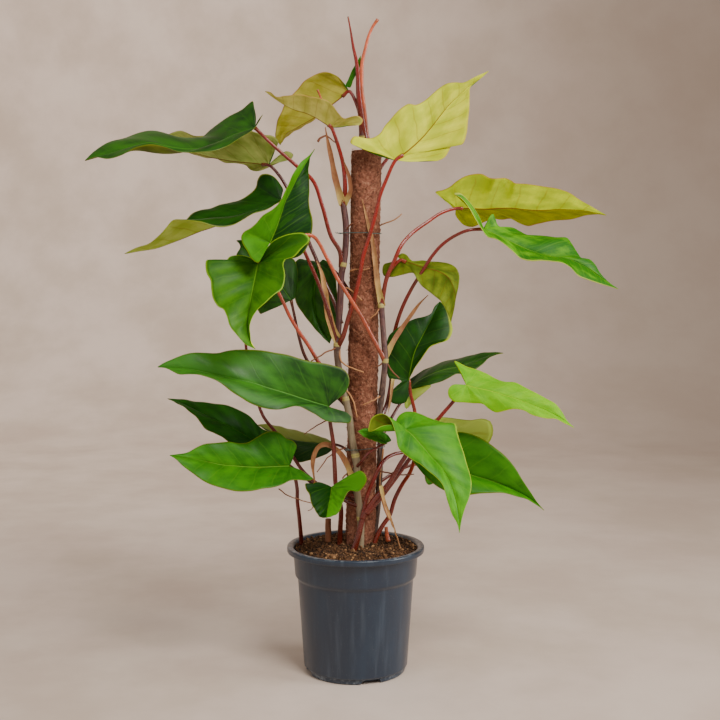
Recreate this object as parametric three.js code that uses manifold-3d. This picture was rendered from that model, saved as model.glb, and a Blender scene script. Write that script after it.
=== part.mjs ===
// A red emerald philodendron on a coir pole, in a nursery pot. Millimetres, +Z up.
// The origin is the middle of the pot's underside. +X is the viewer's right and -Y is the front.
import * as THREE from 'three';
import { mergeVertices } from 'three/addons/utils/BufferGeometryUtils.js';
import Module from 'manifold-3d';

// Driving dimensions
const GAP = 0.3; // clearance between pieces that touch
const POT_HEIGHT = 175;
const RIM_RADIUS = 95;
const RIM_ROUNDING = 1.5;
const LIP_HEIGHT = 8.5;
const STEP_HEIGHT = 135; // foot of the collar under the lip
const STEP_DROP = 6;
const COLLAR_TOP_RADIUS = 86.5;
const COLLAR_FOOT_RADIUS = 84;
const BODY_TOP_RADIUS = 80.2;
const BODY_FOOT_RADIUS = 72;
const FOOT_RADIUS = 69;
const FOOT_HEIGHT = 8;
const FOOT_WIDTH = 6;
const WALL = 1.8;
const FLOOR_UNDER = 2.5;
const FLOOR_TOP = 5;
const HUB_RADIUS = 18; // flat middle of the underside, level with the foot ring
const NOTCHES = { count: 4, first: 18, width: 26, height: 6 };
const DRAINS = { count: 6, radius: 6, ring: 45 };
const SOIL = { edge: 171, crown: 178, rings: 5 };
const POLE = { foot: [4, 0, 40], top: [14.6, 0, 714], radius: 20, sides: 18, steps: 16 };
const BLADE_THICKNESS = 0.9;
const BLADE_CLEARANCE = BLADE_THICKNESS + 2 * GAP;
const WIRE_RADIUS = 0.8;
const TIES = { tie_lower: 312, tie_upper: 604 }; // heights of the wire ties
const TIED = ['stem', 'sheath_pole']; // shoots that the ties hold to the pole
const ROUND = 32; // facets round the pot, the soil and the ties

// The leaf blades, as blade() reads them: lengths in mm, leans in degrees.
const LEAVES = [
  { name: 'leaf_upper_left', green: 'dark', face: 'front',
    base: [-132, -45, 740], tip: [-348, -75, 696], bow: [0, 0, 2], wave: 3,
    left: { width: [50, 50, 50], lean: [98, 72, 68], lobe: [12, 68, 1] },
    right: { width: [54, 50, 54], lean: [-45, -74, -50], lobe: [16, -50, 1] } },
  { name: 'leaf_upper_left_behind', green: 'olive', face: 'back',
    base: [-119, 25, 698], tip: [-284, 35, 724], bow: [0, 0, 4], wave: 3,
    left: { width: [48, 48, 48], lean: [-72, -72, -72], lobe: [8, -72, 1] },
    right: { width: [50, 50, 50], lean: [-38, -38, -38], lobe: [26, -38, 1] } },
  { name: 'leaf_left_curled', green: 'dark', face: 'front',
    base: [-102, -20, 645], tip: [-306, -45, 576], bow: [0, 0, -9], wave: 3,
    left: { width: [50, 48, 44], lean: [132, 108, 84], lobe: [12, 84, 1] },
    right: { width: [46, 50, 56], lean: [-60, -62, -48], lobe: [20, -48, 1] } },
  { name: 'leaf_centre_upright', green: 'mid', face: 'front',
    base: [-109, -105, 589], tip: [-54, -45, 712], bow: [3, 8, 4], wave: 2,
    left: { width: [45, 45, 45], lean: [60, 64, 33], lobe: [20, 33, 1] },
    right: { width: [52, 52, 52], lean: [66, 50, 16], lobe: [14, 16, 1.05] } },
  { name: 'leaf_lime_hanging', green: 'lime', face: 'front',
    base: [-128, -60, 564], tip: [-128, -150, 462], bow: [-6, -12, 12], wave: 4,
    left: { width: [40, 46, 48], lean: [52, 42, 14], lobe: [14, 14, 1] },
    right: { width: [70, 58, 66], lean: [10, 20, 12], lobe: [12, 12, 1] } },
  { name: 'leaf_dark_tucked', green: 'dark', face: 'front',
    base: [-89, -5, 515], tip: [-183, 10, 582], bow: [0, 0, 0], wave: 2,
    left: { width: [36, 36, 36], lean: [50, 50, 50], lobe: [10, 50, 1] },
    right: { width: [46, 46, 46], lean: [-20, -20, -20], lobe: [12, -20, 1] } },
  { name: 'leaf_dark_by_pole', green: 'dark', face: 'front',
    base: [-53, 46, 566], tip: [-44, 60, 447], bow: [0, 8, 0], wave: 2,
    left: { width: [40, 40, 40], lean: [-40, -40, -40], lobe: [12, -40, 1] },
    right: { width: [40, 40, 40], lean: [-40, -40, -40], lobe: [12, -40, 1] } },
  { name: 'leaf_left_broad', green: 'dark', face: 'front',
    base: [-33, -40, 372], tip: [-259, -70, 428], bow: [0, 0, 3], wave: 3,
    left: { width: [50, 52, 50], lean: [97, 66, 70], lobe: [16, 70, 1] },
    right: { width: [80, 60, 57], lean: [-10, -10, -10], lobe: [16, -10, 1] } },
  { name: 'leaf_low_left_behind', green: 'dark', face: 'front',
    base: [-131, 24, 309], tip: [-261, 14, 378], bow: [0, 0, 2], wave: 2,
    left: { width: [36, 36, 36], lean: [88, 72, 60], lobe: [10, 60, 1] },
    right: { width: [44, 40, 40], lean: [-38, -34, -38], lobe: [14, -38, 1] } },
  { name: 'leaf_low_left_front', green: 'mid', face: 'front',
    base: [-92, -25, 291], tip: [-247, -55, 309], bow: [0, -4, -2], wave: 2,
    left: { width: [60, 47, 44], lean: [20, 22, 42], lobe: [31, 50, 0.8] },
    right: { width: [44, 42, 43], lean: [-30, -50, -15], lobe: [12, -15, 1] } },
  { name: 'leaf_small_curled', green: 'mid', face: 'front',
    base: [-33, -46, 266], tip: [-40, -92, 232], bow: [0, -6, 10], wave: 3,
    left: { width: [36, 36, 44], lean: [10, 10, 15], lobe: [12, 15, 1] },
    right: { width: [30, 30, 44], lean: [20, 20, 20], lobe: [10, 20, 1] } },
  { name: 'leaf_low_strip', green: 'dark', face: 'front',
    base: [-35, 52, 313], tip: [-134, 62, 331], bow: [0, 0, 0], wave: 2,
    left: { width: [34, 34, 34], lean: [62, 62, 62], lobe: [8, 62, 1] },
    right: { width: [34, 34, 34], lean: [-70, -70, -70], lobe: [8, -70, 1] } },
  { name: 'leaf_top_behind', green: 'olive', face: 'back',
    base: [-9, 12, 797], tip: [-105, 45, 729], bow: [0, 0, 4], wave: 3,
    left: { width: [42, 42, 42], lean: [-92, -92, -92], lobe: [12, -92, 1] },
    right: { width: [104, 54, 32], lean: [-22, -22, -28], lobe: [4, -28, 1] } },
  { name: 'leaf_top_front', green: 'olive', face: 'back',
    base: [-36, -30, 747], tip: [-113, -85, 781], bow: [0, 0, 4], wave: 3,
    left: { width: [40, 40, 40], lean: [-74, -84, -76], lobe: [12, -76, 1] },
    right: { width: [44, 44, 42], lean: [-48, -48, -52], lobe: [42, -72, 1] } },
  { name: 'leaf_upper_right', green: 'yellow', face: 'back',
    base: [53, -40, 697], tip: [177, -15, 818], bow: [0, 4, 3], wave: 4,
    left: { width: [50, 50, 48], lean: [-22, -22, -22], lobe: [24, -15, 1.35] },
    right: { width: [50, 56, 50], lean: [-70, -8, -94], lobe: [5, -94, 1] } },
  { name: 'leaf_right_high', green: 'olive', face: 'back',
    base: [135, 5, 638], tip: [338, -12, 628], bow: [0, 0, 4], wave: 3,
    left: { width: [56, 52, 48], lean: [-28, -28, -28], lobe: [22, -28, 1] },
    right: { width: [46, 46, 46], lean: [-65, -68, -55], lobe: [6, -55, 1] } },
  { name: 'leaf_right_wavy', green: 'mid', face: 'front',
    base: [173, -40, 607], tip: [337, -90, 531], bow: [0, 0, 3], wave: 3,
    left: { width: [60, 50, 48], lean: [-12, -46, -65], lobe: [46, -50, 0.9] },
    right: { width: [44, 44, 44], lean: [94, 78, 62], lobe: [10, 62, 1] } },
  { name: 'leaf_right_arching', green: 'yellow', face: 'back',
    base: [62, -17, 570], tip: [126, -55, 486], bow: [26, 0, 18], wave: 2,
    left: { width: [42, 42, 42], lean: [-70, -70, -70], lobe: [16, -72, 1] },
    right: { width: [46, 46, 46], lean: [-42, -42, -42], lobe: [20, -62, 1] } },
  { name: 'leaf_right_rolled', green: 'mid', face: 'front',
    base: [73, 2, 407], tip: [124, 30, 510], bow: [0, -4, 4], wave: 2,
    left: { width: [46, 48, 62], lean: [5, 18, 24], lobe: [10, 24, 1] },
    right: { width: [64, 46, 44], lean: [12, 72, 84], lobe: [34, 96, 1] } },
  { name: 'leaf_right_narrow', green: 'dark', face: 'front',
    base: [75, 45, 383], tip: [209, 60, 437], bow: [0, 0, 0], wave: 2,
    left: { width: [42, 42, 42], lean: [-58, -66, -68], lobe: [12, -68, 1] },
    right: { width: [40, 40, 40], lean: [86, 86, 80], lobe: [20, 100, 1] } },
  { name: 'leaf_right_lime', green: 'lime', face: 'front',
    base: [148, -30, 400], tip: [288, -65, 345], bow: [0, 0, 2], wave: 3,
    left: { width: [62, 42, 42], lean: [-15, -42, -57], lobe: [24, -57, 1] },
    right: { width: [42, 42, 42], lean: [88, 80, 62], lobe: [18, 62, 1] } },
  { name: 'leaf_low_right_front', green: 'mid', face: 'front',
    base: [68, -60, 343], tip: [134, -115, 216], bow: [19, -4, 9], wave: 2,
    left: { width: [44, 44, 54], lean: [10, 40, 14], lobe: [12, 14, 1] },
    right: { width: [46, 46, 46], lean: [50, 67, 52], lobe: [24, 22, 1] } },
  { name: 'leaf_small_low', green: 'mid', face: 'front',
    base: [41, -38, 320], tip: [5, -48, 339], bow: [0, 0, 2], wave: 1,
    left: { width: [16, 16, 16], lean: [20, 20, 20], lobe: [5, 20, 1] },
    right: { width: [18, 18, 18], lean: [-20, -20, -20], lobe: [5, -20, 1] } },
  { name: 'leaf_low_right_behind', green: 'dark', face: 'front',
    base: [89, 0, 321], tip: [255, -25, 230], bow: [0, 0, 3], wave: 3,
    left: { width: [62, 58, 50], lean: [-12, -12, -45], lobe: [12, -45, 1] },
    right: { width: [40, 50, 46], lean: [78, 38, 38], lobe: [12, 38, 1] } },
  { name: 'leaf_back_1', green: 'dark', face: 'front',
    base: [-150, 8, 505], tip: [-173, 95, 566], bow: [0, 0, 14], wave: 1,
    left: { width: [24, 24, 24], lean: [10, 10, 10], lobe: [8, 10, 1] },
    right: { width: [24, 24, 24], lean: [10, 10, 10], lobe: [8, 10, 1] } },
  { name: 'leaf_back_2', green: 'mid', face: 'front',
    base: [107, 66, 279], tip: [195, 170, 253], bow: [0, 0, 16], wave: 2,
    left: { width: [34, 34, 34], lean: [20, 20, 20], lobe: [14, 20, 1] },
    right: { width: [34, 34, 34], lean: [20, 20, 20], lobe: [14, 20, 1] } },
  { name: 'leaf_back_3', green: 'dark', face: 'front',
    base: [-82, 62, 387], tip: [-166, 165, 382], bow: [0, 0, 16], wave: 2,
    left: { width: [28, 28, 28], lean: [20, 20, 20], lobe: [12, 20, 1] },
    right: { width: [28, 28, 28], lean: [20, 20, 20], lobe: [12, 20, 1] } },
  { name: 'leaf_back_4', green: 'mid', face: 'front',
    base: [73, 56, 733], tip: [107, 170, 771], bow: [0, 0, 12], wave: 2,
    left: { width: [26, 26, 26], lean: [20, 20, 20], lobe: [12, 20, 1] },
    right: { width: [26, 26, 26], lean: [20, 20, 20], lobe: [12, 20, 1] } },
];

// Stems, petioles, sheaths and aerial roots, by the vine or shoot that they grow as. A thick value
// is a radius at the start and the end of the route.
const VINES = {
  vine_left: [
    { name: 'stem', thick: [5.0, 4.2], sides: 7, nodes: [217, 303, 379, 453, 561],
      route: [
        [6, -27, 166], [7, -27, 217], [2, -26, 254], [1, -26, 295], [-5, -24, 327], [-9, -21, 359],
        [-14, -17, 381], [-20, -14, 406], [-25, -14, 440], [-24, -14, 467], [-21, -14, 507],
        [-19, -14, 548], [-14, -14, 579], [-13, -14, 615], [-17, -14, 646]] },
    { name: 'petiole_upper_left', thick: [2.6, 1.8],
      route: [
        [-19, -14, 559], [-21, -18, 579], [-33, -24, 600], [-44, -33, 639], [-56, -38, 672],
        [-76, -42, 690], [-107, -45, 717], [-130, -45, 738]] },
    { name: 'petiole_upper_left_behind', thick: [2.6, 1.8],
      route: [
        [-20, -14, 482], [-28, -9, 509], [-39, -3, 532], [-54, 4, 570], [-64, 8, 593], [-77, 14, 634],
        [-93, 18, 665], [-105, 22, 684], [-118, 25, 697]] },
    { name: 'petiole_left_curled', thick: [2.6, 1.8],
      route: [
        [-24, -14, 452], [-33, -20, 487], [-49, -25, 535], [-69, -27, 581], [-86, -24, 619],
        [-101, -20, 644]] },
    { name: 'petiole_lime_hanging', thick: [2.6, 1.8],
      route: [
        [-14, -17, 376], [-31, -18, 402], [-51, -22, 432], [-63, -28, 453], [-77, -38, 475],
        [-87, -46, 493], [-102, -58, 527], [-117, -62, 550], [-127, -60, 563]] },
    { name: 'petiole_dark_tucked', thick: [2.4, 1.6],
      route: [
        [-14, -17, 373], [-40, -10, 397], [-68, -6, 435], [-77, -4, 462], [-83, -4, 491], [-88, -5, 513]] },
    { name: 'petiole_back_1', thick: [2.4, 1.6],
      route: [
        [2, -26, 247], [-16, -23, 250], [-34, -9, 253], [-49, 2, 257], [-72, 9, 275], [-87, 11, 296],
        [-112, 10, 332], [-127, 8, 352], [-136, 8, 376], [-145, 8, 417], [-151, 8, 452], [-150, 8, 503]] },
    { name: 'petiole_low_left_behind', thick: [2.4, 1.6],
      route: [
        [2, -26, 244], [-14, -22, 246], [-33, -5, 248], [-50, 8, 251], [-72, 17, 267], [-95, 22, 284],
        [-113, 24, 298], [-130, 24, 308]] },
    { name: 'petiole_small_curled', thick: [2.2, 1.4],
      route: [
        [3, -27, 235], [-12, -34, 242], [-24, -41, 254], [-32, -45, 264]] },
    { name: 'petiole_upper_right', thick: [2.8, 1.9],
      route: [
        [-24, -14, 452], [-17, -22, 465], [-9, -29, 493], [-2, -31, 515], [6, -33, 549], [10, -34, 572],
        [18, -35, 598], [26, -37, 626], [32, -38, 651], [40, -39, 672], [51, -40, 695]] },
    { name: 'petiole_top_front', thick: [2.8, 1.9],
      route: [
        [-17, -14, 640], [-14, -17, 661], [-17, -19, 697], [-23, -23, 719], [-28, -27, 734],
        [-36, -30, 746]] },
    { name: 'petiole_small_low', thick: [1.8, 1.2],
      route: [
        [0, -26, 287], [7, -35, 296], [18, -40, 310], [40, -39, 319]] },
    { name: 'sheath_left', thick: [4.6, 0.6], flat: 0.2, pitch: 20,
      route: [
        [-22, -17, 456], [-30, -20, 473], [-37, -22, 498], [-41, -22, 524], [-45, -21, 549],
        [-52, -20, 567]] },
    { name: 'sheath_top_left', thick: [4.0, 0.8], flat: 0.2, pitch: 20,
      route: [
        [-17, -17, 642], [-21, -20, 655], [-27, -23, 677], [-32, -26, 703], [-37, -29, 726],
        [-40, -31, 743]] },
    { name: 'sheath_top_right', thick: [3.4, 0.6], flat: 0.2, pitch: 20,
      route: [
        [-15, -17, 642], [-7, -20, 659], [-7, -20, 668], [-9, -20, 680], [-17, -22, 703]] },
    { name: 'dry_ribbon', thick: [4.2, 2.6], flat: 0.2, pitch: 20,
      route: [
        [1, -27, 265], [-6, -31, 279], [-12, -32, 293], [-20, -32, 307], [-30, -32, 316],
        [-40, -31, 320], [-49, -30, 317], [-55, -30, 308], [-58, -31, 293], [-55, -32, 267]] },
    { name: 'root_upper', thick: [1.1, 0.8], pitch: 14, sides: 4,
      route: [
        [-14, -14, 606], [-10, -20, 611], [-5, -23, 616], [5, -24, 619]] },
    { name: 'root_middle', thick: [1.1, 0.8], pitch: 14, sides: 4,
      route: [
        [-20, -14, 530], [-9, -23, 529], [2, -25, 520], [9, -25, 514]] },
    { name: 'root_pale', thick: [1.3, 0.9], pitch: 14, sides: 4,
      route: [
        [-22, -14, 450], [-20, -20, 433], [-13, -25, 426], [-2, -27, 422], [11, -25, 417]] },
    { name: 'root_hanging', thick: [1.2, 0.9], pitch: 14, sides: 4,
      route: [
        [-25, -14, 450], [-30, -20, 448], [-41, -24, 443], [-60, -25, 432]] },
    { name: 'root_inner', thick: [1.2, 0.8], pitch: 14, sides: 4,
      route: [
        [-12, -17, 391], [-5, -23, 382], [-1, -26, 370], [2, -26, 356]] },
    { name: 'root_down', thick: [1.3, 0.9], pitch: 14, sides: 4,
      route: [
        [-1, -26, 292], [-9, -29, 283], [-18, -31, 273]] },
  ],
  vine_right: [
    { name: 'stem', thick: [4.6, 3.8], sides: 7, nodes: [354, 432, 505],
      route: [
        [24, 17, 155], [27, 17, 192], [31, 10, 235], [34, 5, 306], [33, -9, 360], [35, -14, 380],
        [37, -22, 401], [40, -26, 435], [38, -24, 463], [36, -19, 490], [34, -15, 512]] },
    { name: 'petiole_right_high', thick: [2.6, 1.8],
      route: [
        [35, -15, 506], [38, -20, 525], [42, -26, 545], [51, -29, 565], [61, -25, 587], [75, -15, 603],
        [97, -4, 619], [117, 2, 632], [133, 5, 637]] },
    { name: 'petiole_right_arching', thick: [2.4, 1.8],
      route: [
        [34, -15, 506], [38, -15, 528], [46, -17, 552], [54, -18, 563], [60, -18, 569]] },
    { name: 'petiole_centre_upright', thick: [2.6, 1.8],
      route: [
        [40, -26, 432], [23, -34, 464], [6, -40, 496], [-9, -46, 520], [-24, -53, 544], [-37, -63, 570],
        [-55, -82, 599], [-81, -98, 596], [-107, -105, 589]] },
    { name: 'petiole_right_wavy', thick: [2.6, 1.8],
      route: [
        [35, -7, 353], [43, 2, 371], [49, 10, 403], [49, 11, 436], [53, 9, 467], [62, 1, 499],
        [75, -12, 528], [89, -25, 552], [102, -32, 573], [115, -35, 588], [132, -38, 600],
        [149, -40, 607], [170, -40, 607]] },
    { name: 'petiole_right_narrow', thick: [2.2, 1.6],
      route: [
        [34, 3, 321], [48, 20, 346], [62, 37, 367], [74, 45, 381]] },
    { name: 'sheath_pole', thick: [4.0, 0.8], flat: 0.2, pitch: 20,
      route: [
        [36, -17, 506], [31, -24, 529], [27, -24, 560], [23, -24, 591], [17, -23, 615], [9, -23, 649]] },
    { name: 'sheath_right', thick: [4.2, 0.8], flat: 0.2, pitch: 20,
      route: [
        [40, -27, 438], [50, -23, 457], [61, -17, 474], [75, -17, 494], [86, -17, 509], [98, -17, 521]] },
    { name: 'root_ring', thick: [1.1, 0.8], pitch: 14, sides: 4,
      route: [
        [34, -15, 507], [28, -23, 497], [19, -25, 489]] },
    { name: 'root_cross', thick: [1.1, 0.8], pitch: 14, sides: 4,
      route: [
        [38, -26, 432], [32, -27, 426], [18, -26, 426]] },
    { name: 'root_out', thick: [1.1, 0.8], pitch: 14, sides: 4,
      route: [
        [42, -27, 430], [49, -27, 419], [59, -26, 409]] },
    { name: 'root_low', thick: [1.3, 0.9], pitch: 14, sides: 4,
      route: [
        [36, -15, 386], [28, -23, 381], [20, -26, 377], [10, -26, 373]] },
  ],
  vine_back: [
    { name: 'stem', thick: [4.6, 4.0], sides: 7, nodes: [262, 520, 733],
      route: [
        [6, 27, 152], [7, 26, 261], [9, 26, 374], [12, 26, 485], [14, 26, 596], [15, 26, 678],
        [14, 24, 710], [10, 10, 733], [7, 4, 770], [6, 0, 808]] },
    { name: 'spike_left', thick: [4.2, 0.6],
      route: [
        [7, 4, 767], [2, 2, 798], [3, 0, 816], [1, -1, 834], [-3, -2, 852], [-7, -3, 876],
        [-10, -3, 892]] },
    { name: 'spike_right', thick: [4.0, 0.6],
      route: [
        [7, 1, 796], [9, 1, 832], [13, 2, 849], [17, 3, 866], [23, 4, 880], [30, 4, 890]] },
    { name: 'petiole_top_behind', thick: [2.4, 1.8],
      route: [
        [9, 7, 749], [2, 9, 777], [-9, 12, 796]] },
    { name: 'petiole_low_strip', thick: [2.2, 1.5],
      route: [
        [8, 26, 275], [-5, 42, 289], [-18, 52, 303], [-34, 52, 313]] },
    { name: 'petiole_dark_by_pole', thick: [2.4, 1.8],
      route: [
        [12, 26, 499], [-8, 40, 524], [-29, 48, 552], [-51, 46, 564]] },
    { name: 'petiole_back_2', thick: [2.4, 1.8],
      route: [
        [7, 26, 232], [34, 45, 254], [75, 62, 274], [106, 66, 279]] },
    { name: 'petiole_back_3', thick: [2.4, 1.8],
      route: [
        [9, 26, 345], [-15, 46, 374], [-51, 60, 387], [-80, 62, 387]] },
    { name: 'petiole_back_4', thick: [2.4, 1.8],
      route: [
        [15, 26, 651], [31, 44, 690], [55, 54, 721], [72, 56, 731]] },
    { name: 'root_side', thick: [1.2, 0.7], pitch: 14, sides: 4,
      route: [
        [16, 26, 615], [32, 20, 615], [42, 12, 619], [55, 7, 624], [63, 6, 631]] },
  ],
  shoot_left_broad: [
    { name: 'petiole_left_broad', thick: [3.2, 2.2],
      route: [
        [-22, -8, 161], [-22, -8, 179], [-21, -13, 203], [-20, -20, 228], [-24, -26, 250],
        [-27, -30, 265], [-28, -33, 284], [-29, -36, 306], [-30, -38, 323], [-34, -40, 351],
        [-33, -40, 370]] },
  ],
  shoot_low_left: [
    { name: 'petiole_low_left_front', thick: [2.8, 2.0],
      route: [
        [-76, 8, 157], [-76, 8, 178], [-78, -4, 215], [-80, -13, 239], [-80, -20, 259], [-85, -24, 281],
        [-90, -25, 288]] },
  ],
  shoots_low_right: [
    { name: 'petiole_low_right_front', thick: [3.6, 2.4],
      route: [
        [-5, -36, 168], [3, -37, 193], [11, -38, 223], [26, -40, 247], [41, -43, 264], [52, -47, 281],
        [59, -51, 295], [67, -54, 309], [71, -57, 327], [69, -60, 341]] },
    { name: 'petiole_right_lime', thick: [2.8, 2.0],
      route: [
        [14, -38, 226], [28, -38, 241], [46, -38, 264], [64, -38, 289], [79, -37, 310], [94, -35, 332],
        [110, -33, 353], [131, -30, 377], [147, -30, 398]] },
    { name: 'petiole_low_right_behind', thick: [2.6, 2.0],
      route: [
        [9, -38, 219], [15, -34, 247], [24, -31, 270], [32, -27, 287], [41, -18, 298], [53, -9, 303],
        [65, 0, 304], [78, 6, 309], [87, 3, 318]] },
    { name: 'root_long', thick: [1.3, 0.9], pitch: 16, sides: 4,
      route: [
        [34, -42, 260], [36, -33, 243], [41, -28, 227], [50, -24, 209], [57, -20, 190], [62, -18, 169]] },
  ],
  shoot_right_rolled: [
    { name: 'petiole_right_rolled', thick: [2.8, 2.0],
      route: [
        [23, -10, 161], [27, -8, 182], [36, -6, 201], [47, -4, 217], [54, -2, 239], [64, 3, 258],
        [76, 12, 275], [83, 20, 297], [85, 20, 325], [82, 12, 358], [76, 6, 383], [73, 1, 404]] },
  ],
};

// Colour and roughness of each kind of piece
const FINISHES = {
  pot: [0x3c4b58, 0.45],
  soil: [0x4a2f1c, 1],
  pole: [0x82553f, 1],
  wire: [0x3f5a5c, 0.5],
  stem: [0x7a3a2a, 0.5],
  dark: [0x2b5a20, 0.3],
  mid: [0x4d8a24, 0.3],
  lime: [0x8fbe14, 0.35],
  yellow: [0xb4b440, 0.4],
  olive: [0x9b9a38, 0.4],
};

// Half of a blade's margin, from the tip to where the lobe starts. Each row gives where its line
// leaves the midrib, where that line ends along the blade, and how far across, all as shares.
const MARGIN = [
  [1, 1, 0],
  [0.91, 0.94, 0.07],
  [0.78, 0.84, 0.24],
  [0.62, 0.71, 0.49],
  [0.45, 0.56, 0.74],
  [0.29, 0.4, 0.92],
  [0.15, 0.23, 1],
  [0.05, 0.07, 0.97],
];
// Round the lobe to the notch behind the base: lobe lengths behind it, and how far across.
const LOBE = [[0.3, 0.9], [0.8, 0.68], [1, 0.42], [0.72, 0.2], [0.2, 0.04]];
const COLUMNS = 2; // steps from the midrib to the margin
const FULLNESS = 0.07; // how far a half stands up between them, as a share of its width
const RIPPLE = { rate: 15, shift: 1.3, width: 20 }; // it fades where a half is narrower than this
const STATIONS = [0.85, 0.45, 0.05]; // shares of the length where widths and leans are given
const FRONT = new THREE.Vector3(0, -1, 0);

const wasm = await Module();
wasm.setup();

const { lerp, clamp, smoothstep, degToRad } = THREE.MathUtils;
const vector = (p) => new THREE.Vector3(p[0], p[1], p[2]);
const joined = (solids) => solids.reduce((sum, solid) => sum.add(solid));
const cut = (solid, cutters) => cutters.reduce((rest, cutter) => rest.subtract(cutter), solid);

function signedVolume(places, index) {
  const corner = (i) => new THREE.Vector3().fromBufferAttribute(places, index[i]);
  let volume = 0;
  for (let i = 0; i < index.length; i += 3) {
    volume += corner(i).dot(corner(i + 1).cross(corner(i + 2))) / 6;
  }
  return volume;
}

// A solid from loose triangles of points: welded, turned outwards and without flat slivers.
function closedSolid(triangles) {
  const loose = new THREE.BufferGeometry();
  const flat = new Float32Array(triangles.flat().flatMap((p) => [p.x, p.y, p.z]));
  loose.setAttribute('position', new THREE.BufferAttribute(flat, 3));
  const welded = mergeVertices(loose, 1e-3);
  const places = welded.attributes.position;
  const index = [];
  for (let i = 0; i < welded.index.count; i += 3) {
    const [a, b, c] = welded.index.array.slice(i, i + 3);
    if (a !== b && b !== c && a !== c) index.push(a, b, c);
  }
  if (signedVolume(places, index) < 0) index.reverse();
  return new wasm.Manifold(new wasm.Mesh({
    numProp: 3,
    vertProperties: new Float32Array(places.array),
    triVerts: new Uint32Array(index),
  }));
}

// A solid from one of the library's own shapes, whose seams are still open.
function shapeSolid(geometry) {
  const loose = geometry.index ? geometry.toNonIndexed() : geometry;
  const places = loose.attributes.position;
  const triangles = [];
  for (let i = 0; i < places.count; i += 3) {
    triangles.push([0, 1, 2].map((k) => new THREE.Vector3().fromBufferAttribute(places, i + k)));
  }
  return closedSolid(triangles);
}

// The largest body of a solid: what a cut leaves loose is dropped.
function mainBody(solid) {
  const bodies = solid.decompose();
  return bodies.reduce((best, body) => (body.volume() > best.volume() ? body : best));
}

const part = new THREE.Group();

function addPiece(name, solid, finish) {
  const mesh = solid.getMesh();
  const geometry = new THREE.BufferGeometry();
  geometry.setAttribute('position', new THREE.BufferAttribute(mesh.vertProperties, 3));
  geometry.setIndex(new THREE.BufferAttribute(mesh.triVerts, 1));
  const [color, roughness] = FINISHES[finish];
  const material = new THREE.MeshStandardMaterial({ color, roughness, metalness: 0 });
  const piece = new THREE.Mesh(geometry, material);
  piece.name = name;
  part.add(piece);
}

// Triangles of a skin over a row of rings, with a cap at each end.
function skin(rings) {
  const triangles = [];
  const sides = rings[0].length;
  for (let i = 0; i + 1 < rings.length; i++) {
    const [ring, after] = [rings[i], rings[i + 1]];
    for (let k = 0; k < sides; k++) {
      const n = (k + 1) % sides;
      triangles.push([ring[k], ring[n], after[n]], [ring[k], after[n], after[k]]);
    }
  }
  const [first, last] = [rings[0], rings[rings.length - 1]];
  for (let k = 1; k + 1 < sides; k++) {
    triangles.push([first[0], first[k + 1], first[k]], [last[0], last[k], last[k + 1]]);
  }
  return triangles;
}

// A smooth curve through the points of a route.
function curveThrough(route) {
  return new THREE.CatmullRomCurve3(route.map(vector), false, 'centripetal');
}

// A closed tube along a route. Its section is an oval: half widths across and towards the front,
// both tapering from the first value to the second.
function tube(route, across, towards, sides, pitch) {
  const curve = curveThrough(route);
  const steps = Math.max(3, Math.round(curve.getLength() / pitch));
  const rings = [];
  for (let i = 0; i <= steps; i++) {
    const share = i / steps;
    const centre = curve.getPointAt(share);
    const along = curve.getTangentAt(share);
    const side = new THREE.Vector3().crossVectors(along, FRONT).normalize();
    const out = new THREE.Vector3().crossVectors(side, along).normalize();
    const wide = lerp(across[0], across[1], share);
    const deep = lerp(towards[0], towards[1], share);
    rings.push(Array.from({ length: sides }, (_, k) => {
      const angle = (2 * Math.PI * (k + 0.5)) / sides;
      return centre.clone()
        .addScaledVector(side, Math.cos(angle) * wide)
        .addScaledVector(out, Math.sin(angle) * deep);
    }));
  }
  return closedSolid(skin(rings));
}

// Blends the values of the three stations at a share of the length.
function blend(values, share) {
  const outer = lerp(values[1], values[0], smoothstep(share, STATIONS[1], STATIONS[0]));
  return lerp(values[2], outer, smoothstep(share, STATIONS[2], STATIONS[1]));
}

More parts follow.
